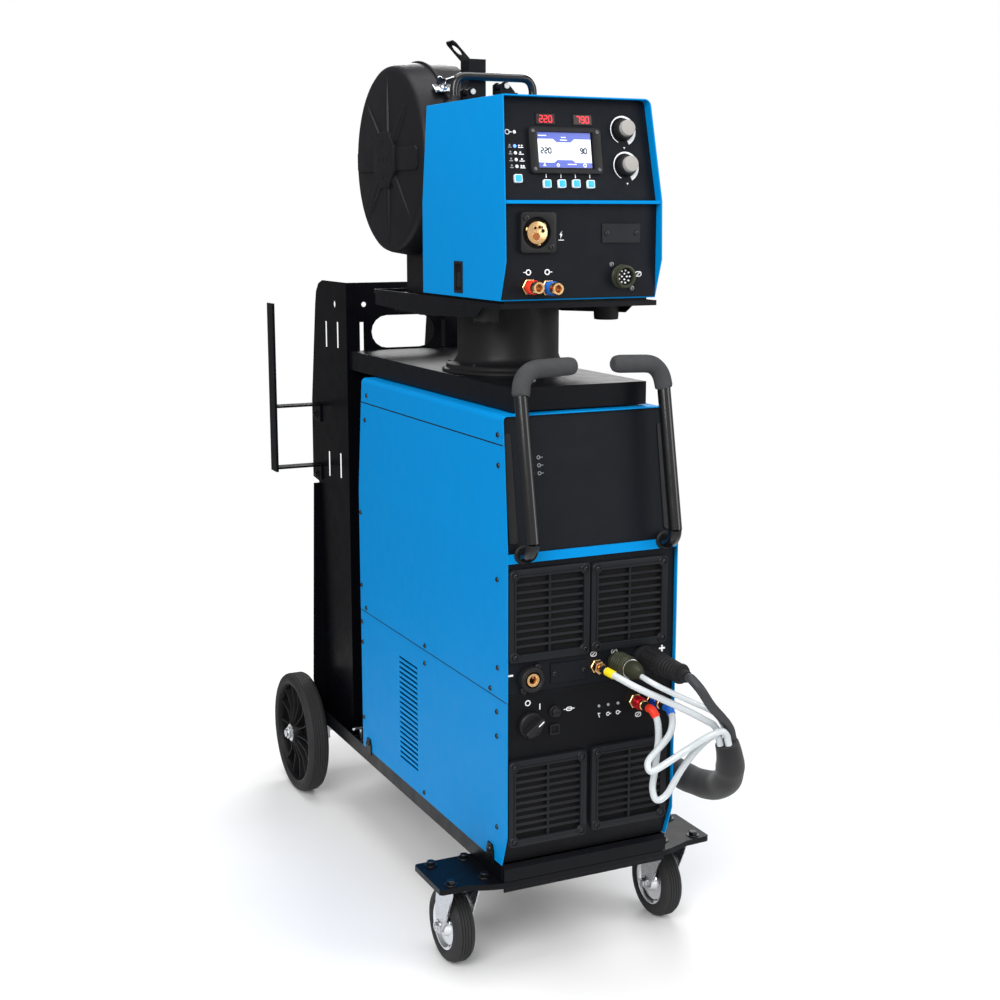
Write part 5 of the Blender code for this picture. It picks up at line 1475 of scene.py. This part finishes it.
def make_feet():
    feet = Piece("platform_feet", "feeder", "rubber")
    for x in (-0.1086, 0.1086):
        for y in (0.166, 0.5):
            foot = mm((0, 0), (17, 0), (19.5, 2), (20.4, 6), (20.4, 27.5), (0, 27.5))
            feet.add(lathe(foot, 36), place(TO_TOP, x, y, 1.0386), "soft_rubber")
    feet.done()
    pad = Piece("feeder_pad", "feeder", "rubber")
    pad.add(prism(rectangle(0.25, 0.285), 0.0099), place(TO_TOP, 0, 0.209, 1.0686), "soft_rubber")
    pad.done()


# Room

def light(name, where, target, size, power):
    data = bpy.data.lights.new(name, "AREA")
    data.shape = "RECTANGLE"
    data.size, data.size_y = size
    data.energy = power
    lamp = new_object(name, data)
    lamp.location = where
    lamp.rotation_euler = (Vector(target) - Vector(where)).to_track_quat("-Z", "Y").to_euler()


def make_studio():
    """Pale floor that thins out away from the set, and a softly lit white room."""
    bm = bmesh.new()
    bmesh.ops.create_grid(bm, x_segments=2, y_segments=2, size=30.0)
    me = bpy.data.meshes.new("floor")
    bm.to_mesh(me)
    bm.free()
    pale = Finish("pale_floor")
    pale.colour(pale.noise(2.0, 2.0), (0.86, 0.86, 0.86), (0.9, 0.9, 0.9))
    pale.roughness(pale.noise(8.0, 2.0), 0.75, 0.85)
    away = pale.tree.nodes.new("ShaderNodeVectorMath")
    away.operation = "LENGTH"
    pale.link(pale.coords.outputs["Object"], away.inputs[0])
    fade = pale.spread(away.outputs["Value"], 0.0, 1.0, 0.7, 1.6)
    glow = pale.tree.nodes.new("ShaderNodeBsdfTransparent")
    mix = pale.tree.nodes.new("ShaderNodeMixShader")
    output = pale.tree.nodes["Material Output"]
    pale.link(fade, mix.inputs[0])
    pale.link(pale.shader.outputs[0], mix.inputs[1])
    pale.link(glow.outputs[0], mix.inputs[2])
    pale.link(mix.outputs[0], output.inputs["Surface"])
    me.materials.append(pale.material)
    floor = new_object("floor", me)
    floor.location.z = -0.0005
    world = bpy.data.worlds.new("studio")
    world.use_nodes = True
    nodes, links = world.node_tree.nodes, world.node_tree.links
    rays = nodes.new("ShaderNodeLightPath")
    ways = nodes.new("ShaderNodeTexCoord")
    parts = nodes.new("ShaderNodeSeparateXYZ")
    dim = nodes.new("ShaderNodeMapRange")
    seen = nodes.new("ShaderNodeMath")
    seen.operation = "MAXIMUM"
    for name, number in (("From Min", -1.0), ("From Max", 1.0), ("To Min", 0.8), ("To Max", 0.14)):
        dim.inputs[name].default_value = number
    links.new(ways.outputs["Generated"], parts.inputs[0])
    links.new(parts.outputs["Y"], dim.inputs["Value"])
    links.new(dim.outputs["Result"], seen.inputs[0])
    links.new(rays.outputs["Is Camera Ray"], seen.inputs[1])
    links.new(seen.outputs[0], nodes["Background"].inputs["Strength"])
    nodes["Background"].inputs["Color"].default_value = (1.0, 1.0, 1.0, 1)
    bpy.context.scene.world = world
    light("key", (-2.4, -2.6, 2.6), (0, 0, 0.7), (2.2, 2.2), 115)
    light("fill", (2.4, -2.8, 1.8), (0, 0, 0.7), (1.6, 2.4), 40)
    light("edge", (1.6, 2.8, 2.6), (0, 0, 0.9), (2.0, 1.2), 60)
    light("overhead", (0, -0.3, 3.4), (0, 0, 0.5), (2.4, 2.4), 60)
    bpy.context.scene.view_settings.view_transform = "Standard"


make_camera()
cords = make_cords()
make_studio()
for side, sign in (("left", -1), ("right", 1)):
    make_rear_wheel(side, sign)
    make_caster(side, sign)
    make_handle(side, sign)
make_tray_fittings()
make_upright_feet()
make_upright_fittings()
make_column()
make_cases()
make_side_screws()
make_grille("grille_upper_left", (-0.149, -0.0078), (0.529, 0.6768))
make_grille("grille_upper_right", (-0.0058, 0.1335), (0.53, 0.6745))
make_grille("grille_lower_left", (-0.149, -0.0104), (0.2285, 0.371))
make_grille("grille_lower_right", (-0.002, 0.138), (0.232, 0.3725))
make_minus_socket()
plug = make_plus_plug()
ferrules = make_hose_fittings()
make_mains_switch()
make_front_marks()
make_rear_panels()
make_feeder_shell()
make_hinges()
make_displays()
make_panel_marks()
for name, (x, z) in KNOBS.items():
    make_knob(name, x, z)
for name, x, z in (("menu", -0.104, 1.26), ("one", -0.0559, 1.2527), ("two", -0.0308, 1.2529),
        ("three", -0.006, 1.2531), ("four", 0.019, 1.2525)):
    make_button(name, x, z)
make_torch_connector()
make_feeder_sockets()
make_carry_handle()
make_drum()
make_spool()
make_drum_latch()
make_rolls()
make_feet()
dress_the_rest()
